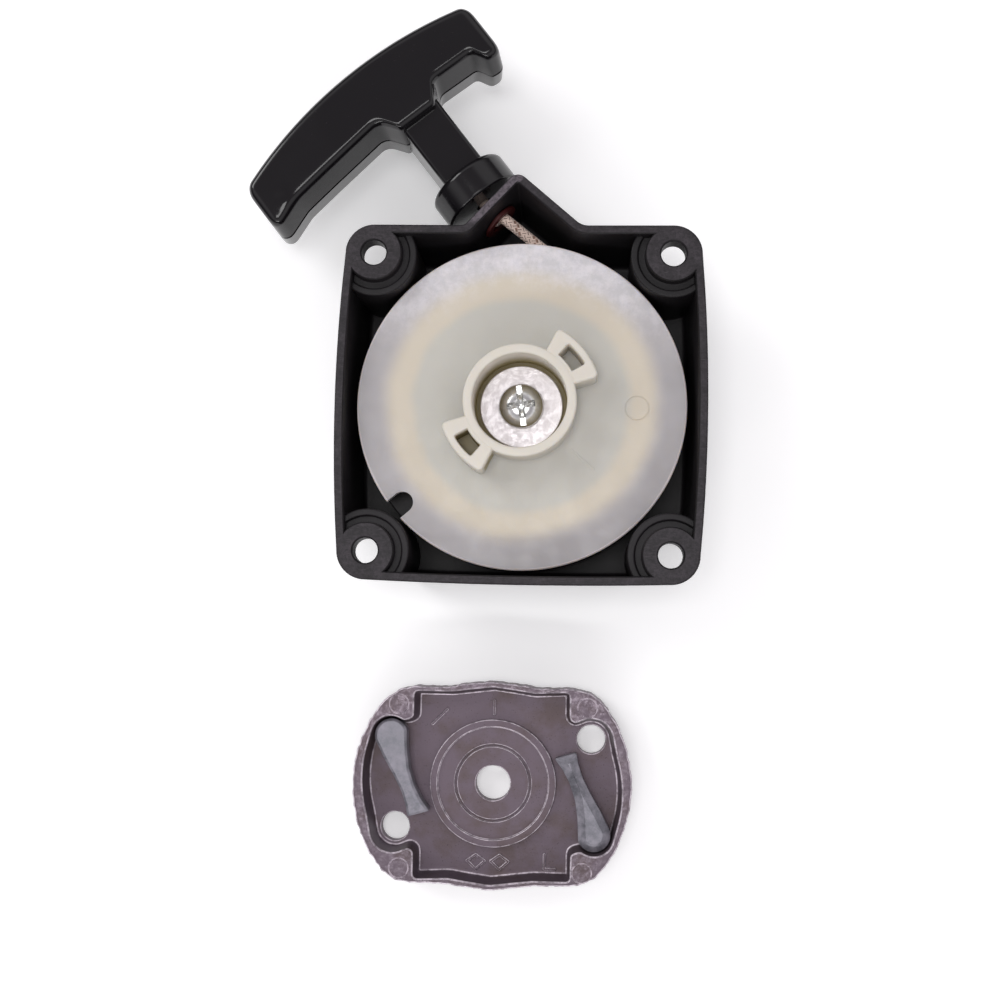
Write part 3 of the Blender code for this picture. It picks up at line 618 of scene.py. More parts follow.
def makeMetal(name, colour, second, rough, scale=500.0, metallic=1.0, rings=False):
    # plain metal: two close tones by noise, roughness that drifts, and fine turning or rolling lines
    material, tree, shader, where = newMaterial(name, rough, metallic)
    tone = between(tree, noise(tree, where, scale, 5.0, 0.7), 0.3, 0.7)
    marks = placed(tree, scuffs, where, Scale=scale * 0.8, Amount=0.35)["Mask"]
    mask = math2(tree, "MAXIMUM", tone, marks)
    tree.links.new(blended(tree, mask, colour, second), shader.inputs["Base Color"])
    drift = between(tree, mask, 0.0, 1.0, rough * 0.8, min(1.0, rough * 1.35))
    tree.links.new(drift, shader.inputs["Roughness"])
    height = placed(tree, grain, where, Scale=scale * 2)["Height"]
    if rings:
        turned = node(tree, "ShaderNodeTexWave", wave_type="RINGS", rings_direction="Z")
        turned.inputs["Scale"].default_value = 900.0
        turned.inputs["Distortion"].default_value = 1.5
        tree.links.new(where, turned.inputs["Vector"])
        height = math2(tree, "ADD", math2(tree, "MULTIPLY", height, 0.5), turned.outputs["Fac"])
    bump(tree, shader, height, 0.012, 0.6)
    return material


redPlastic = {"light": (0.050, 0.004, 0.004), "dark": (0.026, 0.003, 0.003)}


def makeRed():
    # red plastic: slightly clouded, with a fine grain
    material, tree, shader, where = newMaterial("red_plastic_bush", 0.5, Specular_IOR_Level=0.3)
    tone = between(tree, noise(tree, where, 300.0), 0.3, 0.7)
    tree.links.new(blended(tree, tone, redPlastic["light"], redPlastic["dark"]), shader.inputs["Base Color"])
    bump(tree, shader, placed(tree, grain, where, Scale=900.0)["Height"], 0.02, 0.5)
    return material


# the gap colour is painted shade between the strands
ropeLook = {"strand": (0.97, 0.77, 0.67), "fleck": (0.28, 0.12, 0.07), "gap": (0.26, 0.17, 0.13),
            "strands": 6.0, "pitch": 0.72}


def makeRope():
    # braided cord: pale strands, brown flecks on every fourth, painted shade in the gaps between strands; its
    # UV is (turns, millimetres)
    material, tree, shader, where = newMaterial("braided_cord", 0.85, Sheen_Weight=0.25)
    uv = node(tree, "ShaderNodeUVMap", uv_map="rope").outputs["UV"]
    weave = placed(tree, braid, uv, Strands=ropeLook["strands"], Pitch=ropeLook["pitch"])
    fleck = math2(tree, "MULTIPLY", weave["Fleck"], 0.85)
    strand = blended(tree, fleck, ropeLook["strand"], ropeLook["fleck"])
    # painted shade: darker where the braid is low, between the strands
    gap = between(tree, weave["Height"], 0.42, 0.12)
    tree.links.new(blended(tree, gap, strand, ropeLook["gap"]), shader.inputs["Base Color"])
    fuzz = noise(tree, where, 4000.0, 2.0)
    bump(tree, shader, math2(tree, "ADD", weave["Height"], math2(tree, "MULTIPLY", fuzz, 0.3)), 0.22, 0.8)
    return material


nylon, gloss, cream = makeNylon(), makeGloss(), makeCream()
alloy, red, cord = makeAlloy(), makeRed(), makeRope()
zinc = makeMetal("zinc_plated_steel", (0.86, 0.86, 0.85), (0.68, 0.68, 0.67), 0.2, 700.0)
polished = makeMetal("polished_washer_steel", (0.95, 0.905, 0.925), (0.88, 0.835, 0.855), 0.40, 900.0, 0.35,
                     rings=True)
pawlSteel = makeMetal("sintered_pawl_steel", (0.125, 0.125, 0.145), (0.32, 0.305, 0.35), 0.44, 300.0, 0.4)
springSteel = makeMetal("blued_spring_steel", (0.20, 0.21, 0.24), (0.33, 0.34, 0.36), 0.35, 300.0)
brass = makeMetal("turned_brass", (0.62, 0.43, 0.16), (0.50, 0.33, 0.12), 0.3, 500.0)
print("materials built")


housing = {
    "holeHalfPitch": 33.0, "holeRadius": 2.75, "rimMargin": 6.35, "sideBow": 1.4, "bottomBow": 0.6,
    "wall": 2.0, "floor": 2.6, "spout": ((12.9, 39.3, 4.0), (-1.6, 51.7, 2.4), (-13.1, 39.3, 1.5)),
    "bossRadius": 6.2, "bossLedge": 24.2, "lipTop": 25.0, "lipInner": 7.7, "lipOuter": 9.3,
    "pocketRadius": 7.5, "pocketTop": 22.4, "postRadius": 6.1, "postTop": 18.3, "postBore": 4.3,
    "ropeHoleRadius": 3.6,
}
rimTop = boxOf("housing")[1][2]
cornerSigns = ((1, -1), (1, 1), (-1, 1), (-1, -1))
holeCentres = [(x * housing["holeHalfPitch"], y * housing["holeHalfPitch"]) for x, y in cornerSigns]


def insetLine(corners, inset):
    # an open line of (x, y, radius) corners moved to its left by mitred normals, arcs kept concentric
    flat = np.array([c[:2] for c in corners], float)
    steps = np.diff(flat, axis=0)
    steps /= np.linalg.norm(steps, axis=1)[:, None]
    before, after = np.vstack([steps[:1], steps]), np.vstack([steps, steps[-1:]])
    left = np.stack([-before[:, 1], before[:, 0]], 1)
    mitre = left + np.stack([-after[:, 1], after[:, 0]], 1)
    mitre /= np.linalg.norm(mitre, axis=1)[:, None]
    spots = flat + mitre * (inset / np.sum(mitre * left, axis=1))[:, None]
    leftTurn = before[:, 0] * after[:, 1] - before[:, 1] * after[:, 0] > 0
    radii = []
    for (_, _, radius), turnsLeft in zip(corners, leftTurn):
        grownRadius = max(0.5, radius - inset) if turnsLeft else radius + inset
        radii.append(0 if radius <= 0 else grownRadius)
    return [(x, y, r) for (x, y), r in zip(spots, radii)]


def rimPath(inset):
    # sides are parabolas edge + bow (1 - s^2), corners are arcs round the holes, the spout has three
    # rounded corners
    half = housing["holeHalfPitch"]
    edge, corner = half + housing["rimMargin"], housing["rimMargin"] - inset
    s = np.linspace(-0.8, 0.8, 17)
    bottom = np.stack([s * half, inset - edge - housing["bottomBow"] * (1 - s * s)], 1)
    right = np.stack([edge + housing["sideBow"] * (1 - s * s) - inset, s * half], 1)
    left = right[::-1] * (-1, 1)
    line = [(half, edge, 0), *housing["spout"], (-half, edge, 0)]
    top = rounded(insetLine(line, inset), closed=False, steps=8)[1:-1]
    corners = [arc(c, corner, -90 + 90 * i, 90 * i, 14) for i, c in enumerate(holeCentres)]
    return np.concatenate([bottom, corners[0], right, corners[1], top, corners[2], left, corners[3]])


upAxis = np.array([0.0, 0.0, 1.0])
joints = {j["name"]: j for j in frame["joints"]}
pullAxis = np.array(joints["handle_pull"]["axis"], float)
pullAcross = np.array([pullAxis[1], -pullAxis[0], 0.0])
handleAt = {"shift": 21.5, "height": (boxOf("rope_run")[0][2] + boxOf("rope_run")[1][2]) / 2}


def handlePoint(aside, along, height=0.0):
    # a point in the handle's own directions, its height counted from the rope
    level = pullAcross * (handleAt["shift"] + aside) + pullAxis * along
    return level + np.array([0, 0, handleAt["height"] + height])


def spoutExit():
    # where the rope's line meets the spout's outer wall, and that wall's outward direction
    tip, foot = (np.array(housing["spout"][i][:2]) for i in (1, 2))
    along = (tip - foot) / np.linalg.norm(tip - foot)
    outward = np.array([-along[1], along[0], 0.0])
    start = handlePoint(0.0, 0.0)
    reach = (np.array([*tip, start[2]]) - start) @ outward / (pullAxis @ outward)
    return start + pullAxis * reach, outward


exitPoint, exitOutward = spoutExit()


def makeHousing():
    h = housing
    shellProfile = rounded(
        [(3.6, 0, 0), (1.3, 0, 2.1), (0, rimTop, 0.45), (1.2, rimTop, 0)], closed=False, steps=6)
    shell = solid("housing_moulding", [stacked(rimPath, shellProfile)])
    w, foot = h["wall"], h["floor"]
    cavityProfile = rounded(
        [(4.6, foot, 0), (w + 1.0, foot, 1.0), (w, rimTop - 0.28, 0.25), (w - 0.3, rimTop + 0.02, 0),
         (w - 0.3, rimTop + 3, 0)], closed=False, steps=4)
    cavity = solid("cavity", [stacked(rimPath, cavityProfile)])
    cornerProfile = rounded([
        (0, -5, 0), (h["lipOuter"], -5, 0),
        (h["lipOuter"], h["lipTop"], 0.4), (h["lipInner"], h["lipTop"], 0.4),
        (h["lipInner"], h["bossLedge"], 0.2), (h["bossRadius"], h["bossLedge"], 0.25),
        (h["bossRadius"], rimTop - 0.3, 0.25), (h["bossRadius"] - 0.3, rimTop + 0.02, 0),
        (h["bossRadius"] - 0.3, rimTop + 5, 0), (0, rimTop + 5, 0)], closed=False, steps=4)
    for x, y in holeCentres:
        combine(cavity, solid("corner", [moved(lathe(cornerProfile[1:-1], 72), (x, y, 0))]))
    combine(shell, cavity)
    holeProfile = rounded([
        (h["holeRadius"], 15, 0), (h["holeRadius"], rimTop - 0.35, 0.2),
        (h["holeRadius"] + 0.35, rimTop + 0.02, 0), (h["holeRadius"] + 0.35, rimTop + 4, 0),
    ], closed=False, steps=3)
    pocketTop = h["pocketTop"]
    pocketProfile = np.array([(0, -3.0), (0, pocketTop - 0.6), (-0.18, pocketTop - 0.18), (-0.6, pocketTop)])
    for x, y in holeCentres:
        combine(shell, solid("hole", [moved(lathe(holeProfile, 48), (x, y, 0))]))
        sx, sy = math.copysign(1, x), math.copysign(1, y)
        reach, far = h["pocketRadius"], 20.0
        corners = [(-reach, -reach, reach), (far, -reach, 0), (far, far, 0), (-reach, far, 0)]
        inOrder = corners if sx * sy > 0 else corners[::-1]  # anticlockwise at every corner
        path = rounded([(x + sx * a, y + sy * b, r) for a, b, r in inOrder], steps=16)
        combine(shell, solid("pocket", [carried(evenly(path, 0.8), pocketProfile)]))
    postProfile = rounded([
        (0.1, 1.5, 0), (h["postRadius"], 1.5, 0), (h["postRadius"], h["postTop"], 0.4),
        (0.1, h["postTop"], 0)], closed=False, steps=4)
    combine(shell, solid("post", [lathe(postProfile, 64)]), "UNION")
    bore = np.array([(h["postBore"], 6.5), (h["postBore"], 25.0)])
    combine(shell, solid("post_bore", [lathe(bore, 48)]))
    mouth = np.array([(h["ropeHoleRadius"], -8.0), (h["ropeHoleRadius"], 8.0)])
    combine(shell, solid("rope_hole", [laidAlong(lathe(mouth, 48), exitPoint, exitOutward)]))
    return finished(shell, nylon, "housing_body", "black_nylon", "housing")


makeHousing()


guide = {"bore": 2.35, "neck": 3.4, "flange": 4.5, "flangeThick": 0.8, "wallGap": 0.6}


def makeGuide():
    g = guide
    back = -(housing["wall"] + g["wallGap"])
    profile = rounded([
        (g["bore"], back - g["flangeThick"], 0.45), (g["flange"], back - g["flangeThick"], 0.3),
        (g["flange"], back, 0.15), (g["neck"], back, 0.1),
        (g["neck"], 0.3, 0.15), (g["bore"], 0.3, 0.25)], steps=5)
    bush = solid("guide_bush", [laidAlong(lathe(profile, 64), exitPoint, exitOutward)], rings=True)
    return finished(bush, red, "housing_body", "red_plastic", "rope_guide")


makeGuide()
print("housing stage done")


reel = {
    "bore": 6.4, "hubInner": 10.3, "hubOuter": 12.4, "webTop": 18.3, "drum": 23.7, "drumInner": 20.7,
    "clawRadius": 17.8, "clawAngles": (40.0, 220.0), "clawWidth": 46.0, "pocketFrom": 13.0, "pocketTo": 16.1,
    "pocketWidth": 20.0, "pocketFloor": 23.0, "notchAngle": 220.4, "notchWidth": 4.8, "notchDepth": 33.9,
    "witnessAt": (25.6, -0.4), "flowAngle": -41.0, "flowReach": (15.0, 21.5),
}
flangeLow, flangeTop = 19.9, 21.7
reelRadius = boxOf("reel")[1][0]
hubTop = boxOf("reel")[1][2]
reelFoot = boxOf("reel")[0][2]


def raisedBar(start, end, half, foot, top):
    # a short bar with round ends and a soft top
    a, b = np.array(start, float), np.array(end, float)
    along = (b - a) / np.linalg.norm(b - a)
    side = np.array([-along[1], along[0]])
    spots = [a - (along + side) * half, b + (along - side) * half,
             b + (along + side) * half, a - (along - side) * half]
    path = evenly(rounded([(*p, half * 0.98) for p in spots], steps=5), 0.1)
    return carried(path, np.array([(0.1, foot), (0.1, top - 0.36), (-0.03, top - 0.06), (-0.12, top)]))


def clawPath(inner, outer, angle, width, radius):
    # a sector between two radii, its four corners rounded
    half = width / 2
    outerArc = arc((0, 0), outer, angle - half, angle + half, 24)
    innerArc = arc((0, 0), inner, angle + half, angle - half, 12)
    corners = [(*outerArc[0], radius), *[(*p, 0) for p in outerArc[2:-2]], (*outerArc[-1], radius),
               (*innerArc[0], 0), *[(*p, 0) for p in innerArc[1:-1]], (*innerArc[-1], 0)]
    return rounded(corners, steps=6)


def makeReel():
    r = reel
    profile = rounded([
        (r["bore"], reelFoot, 0.2), (r["hubOuter"], reelFoot, 0.2), (r["hubOuter"], flangeLow - 0.7, 0.3),
        (r["drumInner"], flangeLow - 0.7, 0.3), (r["drumInner"], reelFoot, 0.2), (r["drum"], reelFoot, 0.2),
        (r["drum"], flangeLow, 0.4), (reelRadius, flangeLow, 0.35), (reelRadius, flangeTop, 0.55),
        (r["hubOuter"], flangeTop, 0.7), (r["hubOuter"], hubTop, 0.45), (r["hubInner"], hubTop, 0.45),
        (r["hubInner"], r["webTop"], 0.3), (r["bore"], r["webTop"], 0.3)], steps=5)
    body = solid("reel_moulding", [lathe(profile, 200)], rings=True)
    top = hubTop - 0.06
    edge = rounded([(0.0, flangeTop - 0.8, 0), (0.0, top, 0.5), (-0.7, top, 0)], closed=False, steps=5)
    for angle in r["clawAngles"]:
        path = clawPath(r["hubInner"] + 0.8, r["clawRadius"], angle, r["clawWidth"], 1.1)
        combine(body, solid("claw", [carried(evenly(path, 0.35), edge)]), "UNION")
        path = clawPath(r["pocketFrom"], r["pocketTo"], angle, r["pocketWidth"], 0.35)
        flare = np.array([(-0.15, r["pocketFloor"]), (0.0, r["pocketFloor"] + 0.3), (0.05, hubTop - 0.4),
                          (0.35, hubTop + 0.1), (0.35, hubTop + 3)])
        combine(body, solid("claw_pocket", [carried(evenly(path, 0.25), flare)]))
    turn = math.radians(r["notchAngle"])
    out, side = np.array([math.cos(turn), math.sin(turn)]), np.array([-math.sin(turn), math.cos(turn)])
    w, wide = r["notchWidth"] / 2, r["notchWidth"] / 2 + 1.2
    spots = [(r["notchDepth"] - w, -w, w), (reelRadius + 0.2, -w, 0),
             (reelRadius + 1.2, -wide, 0), (reelRadius + 4, -wide, 0),
             (reelRadius + 4, wide, 0), (reelRadius + 1.2, wide, 0),
             (reelRadius + 0.2, w, 0), (r["notchDepth"] - w, w, w)]
    path = evenly(rounded([(*(out * a + side * b), c) for a, b, c in spots], steps=10), 0.4)
    through = np.array([(0, flangeLow - 1.0), (0, flangeTop + 1.0)])
    combine(body, solid("notch", [carried(path, through)]))
    witness = rounded([(2.45, flangeTop - 0.14, 0), (2.75, flangeTop - 0.14, 0),
                       (2.8, flangeTop + 1, 0), (2.4, flangeTop + 1, 0)])
    combine(body, solid("witness_ring", [moved(lathe(witness, 48), (*r["witnessAt"], 0))], rings=True))
    a = math.radians(r["flowAngle"])
    inner, outer = [(math.cos(a) * reach, math.sin(a) * reach) for reach in r["flowReach"]]
    line = raisedBar(inner, outer, 0.3, flangeTop - 0.6, flangeTop + 0.07)
    combine(body, solid("flow_line", [line]), "UNION")
    anchor = np.array([(1.6, 0.0), (1.6, 8.0)])
    combine(body, solid("anchor_hole", [laidAlong(lathe(anchor, 24), (19.0, 0, 17.0), (1, 0, 0))]))
    return finished(body, cream, "reel_body", "cream_nylon", "reel", sharp=28)


makeReel()


reelFlange = {"hub": 9.1, "face": 12.3, "slotFrom": 7.6, "slotTo": 9.9, "slotHalf": 0.7, "slotTop": 11.1}


def makeReelFlange():
    f = reelFlange
    low, high = boxOf("reel_flange")
    profile = rounded([
        (reel["bore"], low[2], 0.2), (f["hub"], low[2], 0.2), (f["hub"], f["face"], 0.4),
        (reelRadius, f["face"], 0.4), (reelRadius, high[2], 0.4), (reel["bore"], high[2], 0.2)], steps=4)
    body = solid("reel_underside", [lathe(profile, 160)], rings=True)
    slot = rounded([(f["slotFrom"], -f["slotHalf"], 0.1), (f["slotTo"], -f["slotHalf"], 0.1),
                    (f["slotTo"], f["slotHalf"], 0.1), (f["slotFrom"], f["slotHalf"], 0.1)])
    combine(body, solid("spring_slot", [carried(slot, np.array([(0, low[2] - 1), (0, f["slotTop"])]))]))
    return finished(body, nylon, "reel_body", "black_nylon", "reel_flange")


makeReelFlange()


washerDisc = {"bore": 2.7, "radius": 9.2}
screw = {"head": 5.0, "headTall": 2.7, "shank": 2.4, "slotWidth": 1.25, "slotDepth": 1.15, "slotTurn": 98.0,
         "crossArm": 3.1, "crossHalf": 0.72, "crossTurn": 8.0}


def makeFixings():
    low, high = boxOf("retaining_washer")
    bore, radius = washerDisc["bore"], washerDisc["radius"]
    profile = rounded([(bore, low[2], 0.1), (radius, low[2], 0.2), (radius, high[2], 0.22),
                       (bore, high[2], 0.1)], steps=4)
    disc = solid("washer_disc", [lathe(profile, 128)], rings=True)
    finished(disc, polished, "housing_body", "bright_steel", "retaining_washer")
    low, high = boxOf("retaining_screw")
    top, s = high[2], screw
    seat = high[2] - s["headTall"]
    dome = arcThrough((s["head"] - 0.25, seat + 1.35), (3.2, top - 0.28), (0.05, top), 10)
    neck = rounded([
        (0.05, low[2], 0), (2.0, low[2], 0.2), (s["shank"], low[2] + 0.6, 0.1), (s["shank"], seat, 0.1),
        (s["head"], seat, 0.15)], closed=False, steps=3)
    body = solid("screw_body", [lathe(np.concatenate([neck, [(s["head"], seat + 0.9)], dome]), 96)])
    arm, half = s["crossArm"], s["crossHalf"]
    points = []
    for i in range(4):
        a = math.radians(s["crossTurn"] + 90 * i)
        tip, side = np.array([math.cos(a), math.sin(a)]), np.array([-math.sin(a), math.cos(a)])
        points += [(*(tip * arm - side * half), 0.2), (*(tip * arm + side * half), 0.2),
                   (*(tip * half + side * half), 0.25)]
    cross = softened(evenly(rounded(points, steps=3), 0.12), 2)
    taper = ((0.2, top - 2.9), (0.72, top - 1.9), (1.0, top - 0.7), (1.08, top + 1.0))
    rows = [np.column_stack([cross * size, np.full(len(cross), height)]) for size, height in taper]
    combine(body, solid("cross_recess", [np.array(rows)]))
    a = math.radians(s["slotTurn"])
    tip, side = np.array([math.cos(a), math.sin(a)]), np.array([-math.sin(a), math.cos(a)])
    w = s["slotWidth"] / 2
    path = rounded([(*(tip * u + side * v), 0) for u, v in ((-6, w), (-6, -w), (6, -w), (6, w))])
    combine(body, solid("driver_slot", [carried(path, np.array([(0, top - s["slotDepth"]), (0, top + 2)]))]))
    finished(body, zinc, "housing_body", "bright_steel", "retaining_screw")


makeFixings()
print("reel stage done")


rope = {"radius": 1.3, "relief": 0.12, "tangentRadius": 31.0, "tangentAngle": 52.7, "aside": 1.0,
        "strands": 6, "pitch": 0.72, "woundFrom": 25.35, "woundTo": 27.05, "turns": 4.0, "guideBack": 2.3,
        "stretchTo": 50.0}


def ropeTube(name, line, uvLength=None, around=20, relief=True):
    # a tube whose radius follows the braid: r + relief x strand height, with UV (turns, millimetres)
    length = np.concatenate([[0], np.cumsum(np.linalg.norm(np.diff(line, axis=0), axis=1))])
    uvLength = length if uvLength is None else uvLength
    angle = np.linspace(0, 1, around, endpoint=False)[None, :]
    a = math.pi * (rope["strands"] * angle + rope["pitch"] * length[:, None])
    b = math.pi * (rope["strands"] * angle - rope["pitch"] * length[:, None])
    over = np.clip(np.cos(a) * np.cos(b) / 0.7 + 0.5, 0, 1)
    height = np.maximum(np.abs(np.sin(a)) * over, np.abs(np.sin(b)) * (1 - over))
    radius = rope["radius"] - (rope["relief"] * (1 - height) if relief else 0.0 * height)
    obj = solid(name, [tube(line, radius, around)])
    layer = obj.data.uv_layers.new(name="rope")
    corner = np.zeros(len(obj.data.loops), np.int32)
    obj.data.loops.foreach_get("vertex_index", corner)
    spots = np.zeros(len(obj.data.vertices) * 3)
    obj.data.vertices.foreach_get("co", spots)
    spots = spots.reshape(-1, 3) / mm
    nearest = np.array([np.argmin(np.sum((line - p) ** 2, 1)) for p in spots]) if len(line) < 400 else None
    if nearest is None:
        nearest = np.minimum(np.arange(len(spots)) // around, len(line) - 1)
    offset = spots - line[nearest]
    along = np.gradient(line, axis=0)
    along /= np.linalg.norm(along, axis=1)[:, None]
    side = np.cross(along, [0.0, 0.0, 1.0])
    side /= np.linalg.norm(side, axis=1)[:, None]
    upPart = np.sum(offset * np.cross(side, along)[nearest], 1)
    turns = np.arctan2(upPart, np.sum(offset * side[nearest], 1)) / math.tau % 1.0
    turns[turns > 1 - 0.5 / around] = 0.0
    uv = np.stack([turns[corner], uvLength[nearest][corner]], 1)
    face = np.zeros(len(obj.data.polygons), np.int32)
    obj.data.polygons.foreach_get("loop_total", face)
    owner = np.repeat(np.arange(len(face)), face)
    highest = np.zeros(len(face))
    np.maximum.at(highest, owner, uv[:, 0])
    wraps = (highest[owner] > 0.75) & (uv[:, 0] < 0.25)
    uv[:, 0] += wraps
    layer.data.foreach_set("uv", uv.astype(np.float32).ravel())
    return obj


def makeRopes():
    r, height = rope, handleAt["height"]
    turn = math.radians(r["tangentAngle"])
    start = np.array([r["tangentRadius"] * math.cos(turn), r["tangentRadius"] * math.sin(turn), height])
    end = exitPoint - exitOutward * r["guideBack"]
    across = np.cross(end - start, upAxis)
    end = end + across / np.linalg.norm(across) * r["aside"]
    line = evenly(np.array([start, end]), 0.16, closed=False)
    run = ropeTube("rope_to_guide", line, around=32)
    finished(run, cord, "housing_body", "braided_rope", "rope_run", sharp=80)

    angle = np.linspace(0, math.tau * r["turns"], int(90 * r["turns"]))
    share = angle / angle[-1]
    layer = r["woundFrom"] + (r["woundTo"] - r["woundFrom"]) * np.clip(share * 8 - 3.5, 0, 1)
    side = 1.3 * np.clip(np.sin(math.pi * (share * 4 - 0.5)) * 3, -1, 1)
    low, high = boxOf("rope_wound")
    coil = np.stack([layer * np.cos(angle), layer * np.sin(angle), (low[2] + high[2]) / 2 + side], 1)
    wound = ropeTube("rope_coil", coil, around=12, relief=False)
    finished(wound, cord, "reel_body", "braided_rope", "rope_wound", sharp=80)

    # the lead is drawn at rest; its pattern is counted as if pulled out, so that it is true at full pull
    reach = (exitPoint - handlePoint(0, 0)) @ pullAxis
    inside, outside = reach - housing["wall"] - 1.0, boxOf("handle_rope_knot")
    knotAlong = (outside[0] / 2 + outside[1] / 2 - handlePoint(0, 0)) @ pullAxis
    along = np.concatenate([np.linspace(inside, 52.0, 90), np.linspace(52.5, knotAlong - 2.5, 30)])
    line = handlePoint(0, 0)[None] + along[:, None] * pullAxis[None]
    blendFrom, blendTo = reach + 0.5, r["stretchTo"]
    t = np.clip((along - blendFrom) / (blendTo - blendFrom), 0, 1)
    pulled = along + t * t * (3 - 2 * t) * joints["handle_pull"]["range_m"][1] / mm
    lead = ropeTube("rope_to_handle", line, pulled, around=20, relief=False)
    finished(lead, cord, None, "braided_rope", "rope_lead", sharp=80)
    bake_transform(lead)


def makeKnot(name, node, body):
    # a pulled-up overhand knot: a trefoil line (sin t + 2 sin 2t, cos t - 2 cos 2t, -sin 3t), shrunk
    # into the node's box
    low, high = boxOf(node)
    t = np.linspace(0, math.tau, 120, endpoint=False)
    line = np.stack([np.sin(t) + 2 * np.sin(2 * t), np.cos(t) - 2 * np.cos(2 * t), -1.4 * np.sin(3 * t)], 1)
    thick = (high[0] - low[0]) * 0.19
    around = 14
    line *= ((high - low) / 2 - thick) / np.abs(line).max(0)
    line += (low + high) / 2
    closed = np.concatenate([line, line[:2]])
    grid = tube(closed, thick, around)[1:-1]
    angle = np.linspace(0, 1, around, endpoint=False)
    obj = solid(name, [grid], rings=True)
    layer = obj.data.uv_layers.new(name="rope")
    corner = np.zeros(len(obj.data.loops), np.int32)
    obj.data.loops.foreach_get("vertex_index", corner)
    uv = np.stack([angle[corner % around], (corner // around) * 0.25], 1)
    layer.data.foreach_set("uv", uv.astype(np.float32).ravel())
    finished(obj, cord, body, "braided_rope", node, sharp=80)


makeRopes()
makeKnot("knot_in_reel", "reel_rope_knot", "reel_body")
makeKnot("knot_in_handle", "handle_rope_knot", "handle_body")
print("rope stage done")


handle = {
    "left": -41.6, "right": 23.2, "half": 9.0, "edge": 1.8, "draft": 1.1, "endRadius": 2.2,
    "inner": ((-42.5, 63.7, 0), (-38.9, 64.1, 5), (-33.0, 66.3, 9), (-24.5, 67.4, 16), (-8.8, 69.2, 3.2),
              (-5.6, 64.7, 0.6), (3.8, 64.7, 0.8), (7.0, 69.5, 2.6), (17.6, 69.2, 1.7), (19.4, 65.7, 1.4),
              (24.5, 65.2, 0)),
    "outer": ((20.4, 81.6), (-6.0, 84.5), (-40.0, 77.8)),
    "stemHalfWidth": 5.2, "stemHalfHeight": 6.5, "collarRadius": 9.4, "collarFrom": 42.9, "collarTo": 50.8,
    "bore": 2.1, "pocketRadius": 4.6, "pocketFrom": 73.5, "crown": 0.05, "seam": 0.22,
    "seamLevels": (4.0, 0.45, 0.2, 0.0, -0.2, -0.45, -4.0),
    "dimpleAt": (-36.2, 68.6), "dimpleTall": 0.3, "dimpleSpread": 3.2,
}


def placedOnHandle(points):
    # handle coordinates (aside, along, height from the rope) to the frame
    aside, along, height = points[..., 0:1], points[..., 1:2], points[..., 2:3]
    return handlePoint(0, 0) + aside * pullAcross + along * pullAxis + height * upAxis


def makeBar():
    # at each place along the bar: corner centres at the half sizes less the edge radius, plus the radius
    # times (cos, sin); the sides lean in by draft x height; the ends shrink by a quarter circle
    h = handle
    n = 1 - np.cos(np.linspace(0, math.pi / 2, 9))
    ends = h["endRadius"] * n
    middle = np.linspace(h["left"] + h["endRadius"], h["right"] - h["endRadius"], 150)[1:-1]
    s = np.concatenate([h["left"] + ends, middle, h["right"] - ends[::-1]])
    fromEnd = np.minimum(s - h["left"], h["right"] - s)
    lack = np.clip(h["endRadius"] - fromEnd, 0, None)
    shrink = h["endRadius"] - np.sqrt(np.clip(h["endRadius"] ** 2 - lack ** 2, 0, None))
    inner = rounded(list(h["inner"]), closed=False, steps=8)
    low = np.interp(s, inner[:, 0], inner[:, 1])
    centre, radius = circleThrough(*h["outer"])
    high = centre[1] + np.sqrt(radius ** 2 - (s - centre[0]) ** 2)
    low, high = low + shrink, high - shrink
    edge = h["edge"]
    quarter = np.radians(np.linspace(0, 90, 8))
    mid, halfWide = (low + high) / 2, (high - low) / 2
    halfTall = h["half"] - shrink * 0.8
    columns = []
    face = np.linspace(-1, 1, 9)[1:-1]

    def lean(z):  # how far the wall stands in at a height, more away from the seam
        return h["draft"] * np.abs(z) / h["half"]

    for sign, up in ((1, 1), (-1, 1), (-1, -1), (1, -1)):
        turns = quarter if sign * up > 0 else quarter[::-1]
        for q in turns:
            z = halfTall - edge + edge * np.sin(q)
            x = halfWide - edge + edge * np.cos(q) - lean(halfTall - edge)
            columns.append((sign * x, up * z))
        if sign == up:  # across the top or the bottom, slightly crowned
            for f in face:
                columns.append((-sign * (halfWide - edge) * f, up * (halfTall + h["crown"] * (1 - f * f))))
            continue
        for level in h["seamLevels"]:  # down one wall or up the other, with the seam's groove halfway
            x = halfWide - lean(level) - (h["seam"] if abs(level) < 0.3 else 0)
            columns.append((sign * x, np.full_like(s, -sign * level)))
    grid = np.stack([np.stack([s, mid + x, z], 1) for x, z in columns], 1)
    x, y = h["dimpleAt"]
    dimple = np.exp(-((grid[..., 0] - x) ** 2 + (grid[..., 1] - y) ** 2) / h["dimpleSpread"])
    grid[..., 2] += h["dimpleTall"] * dimple * np.clip(grid[..., 2] - 7.5, 0, 1)
    return solid("handle_moulding", [placedOnHandle(grid)])


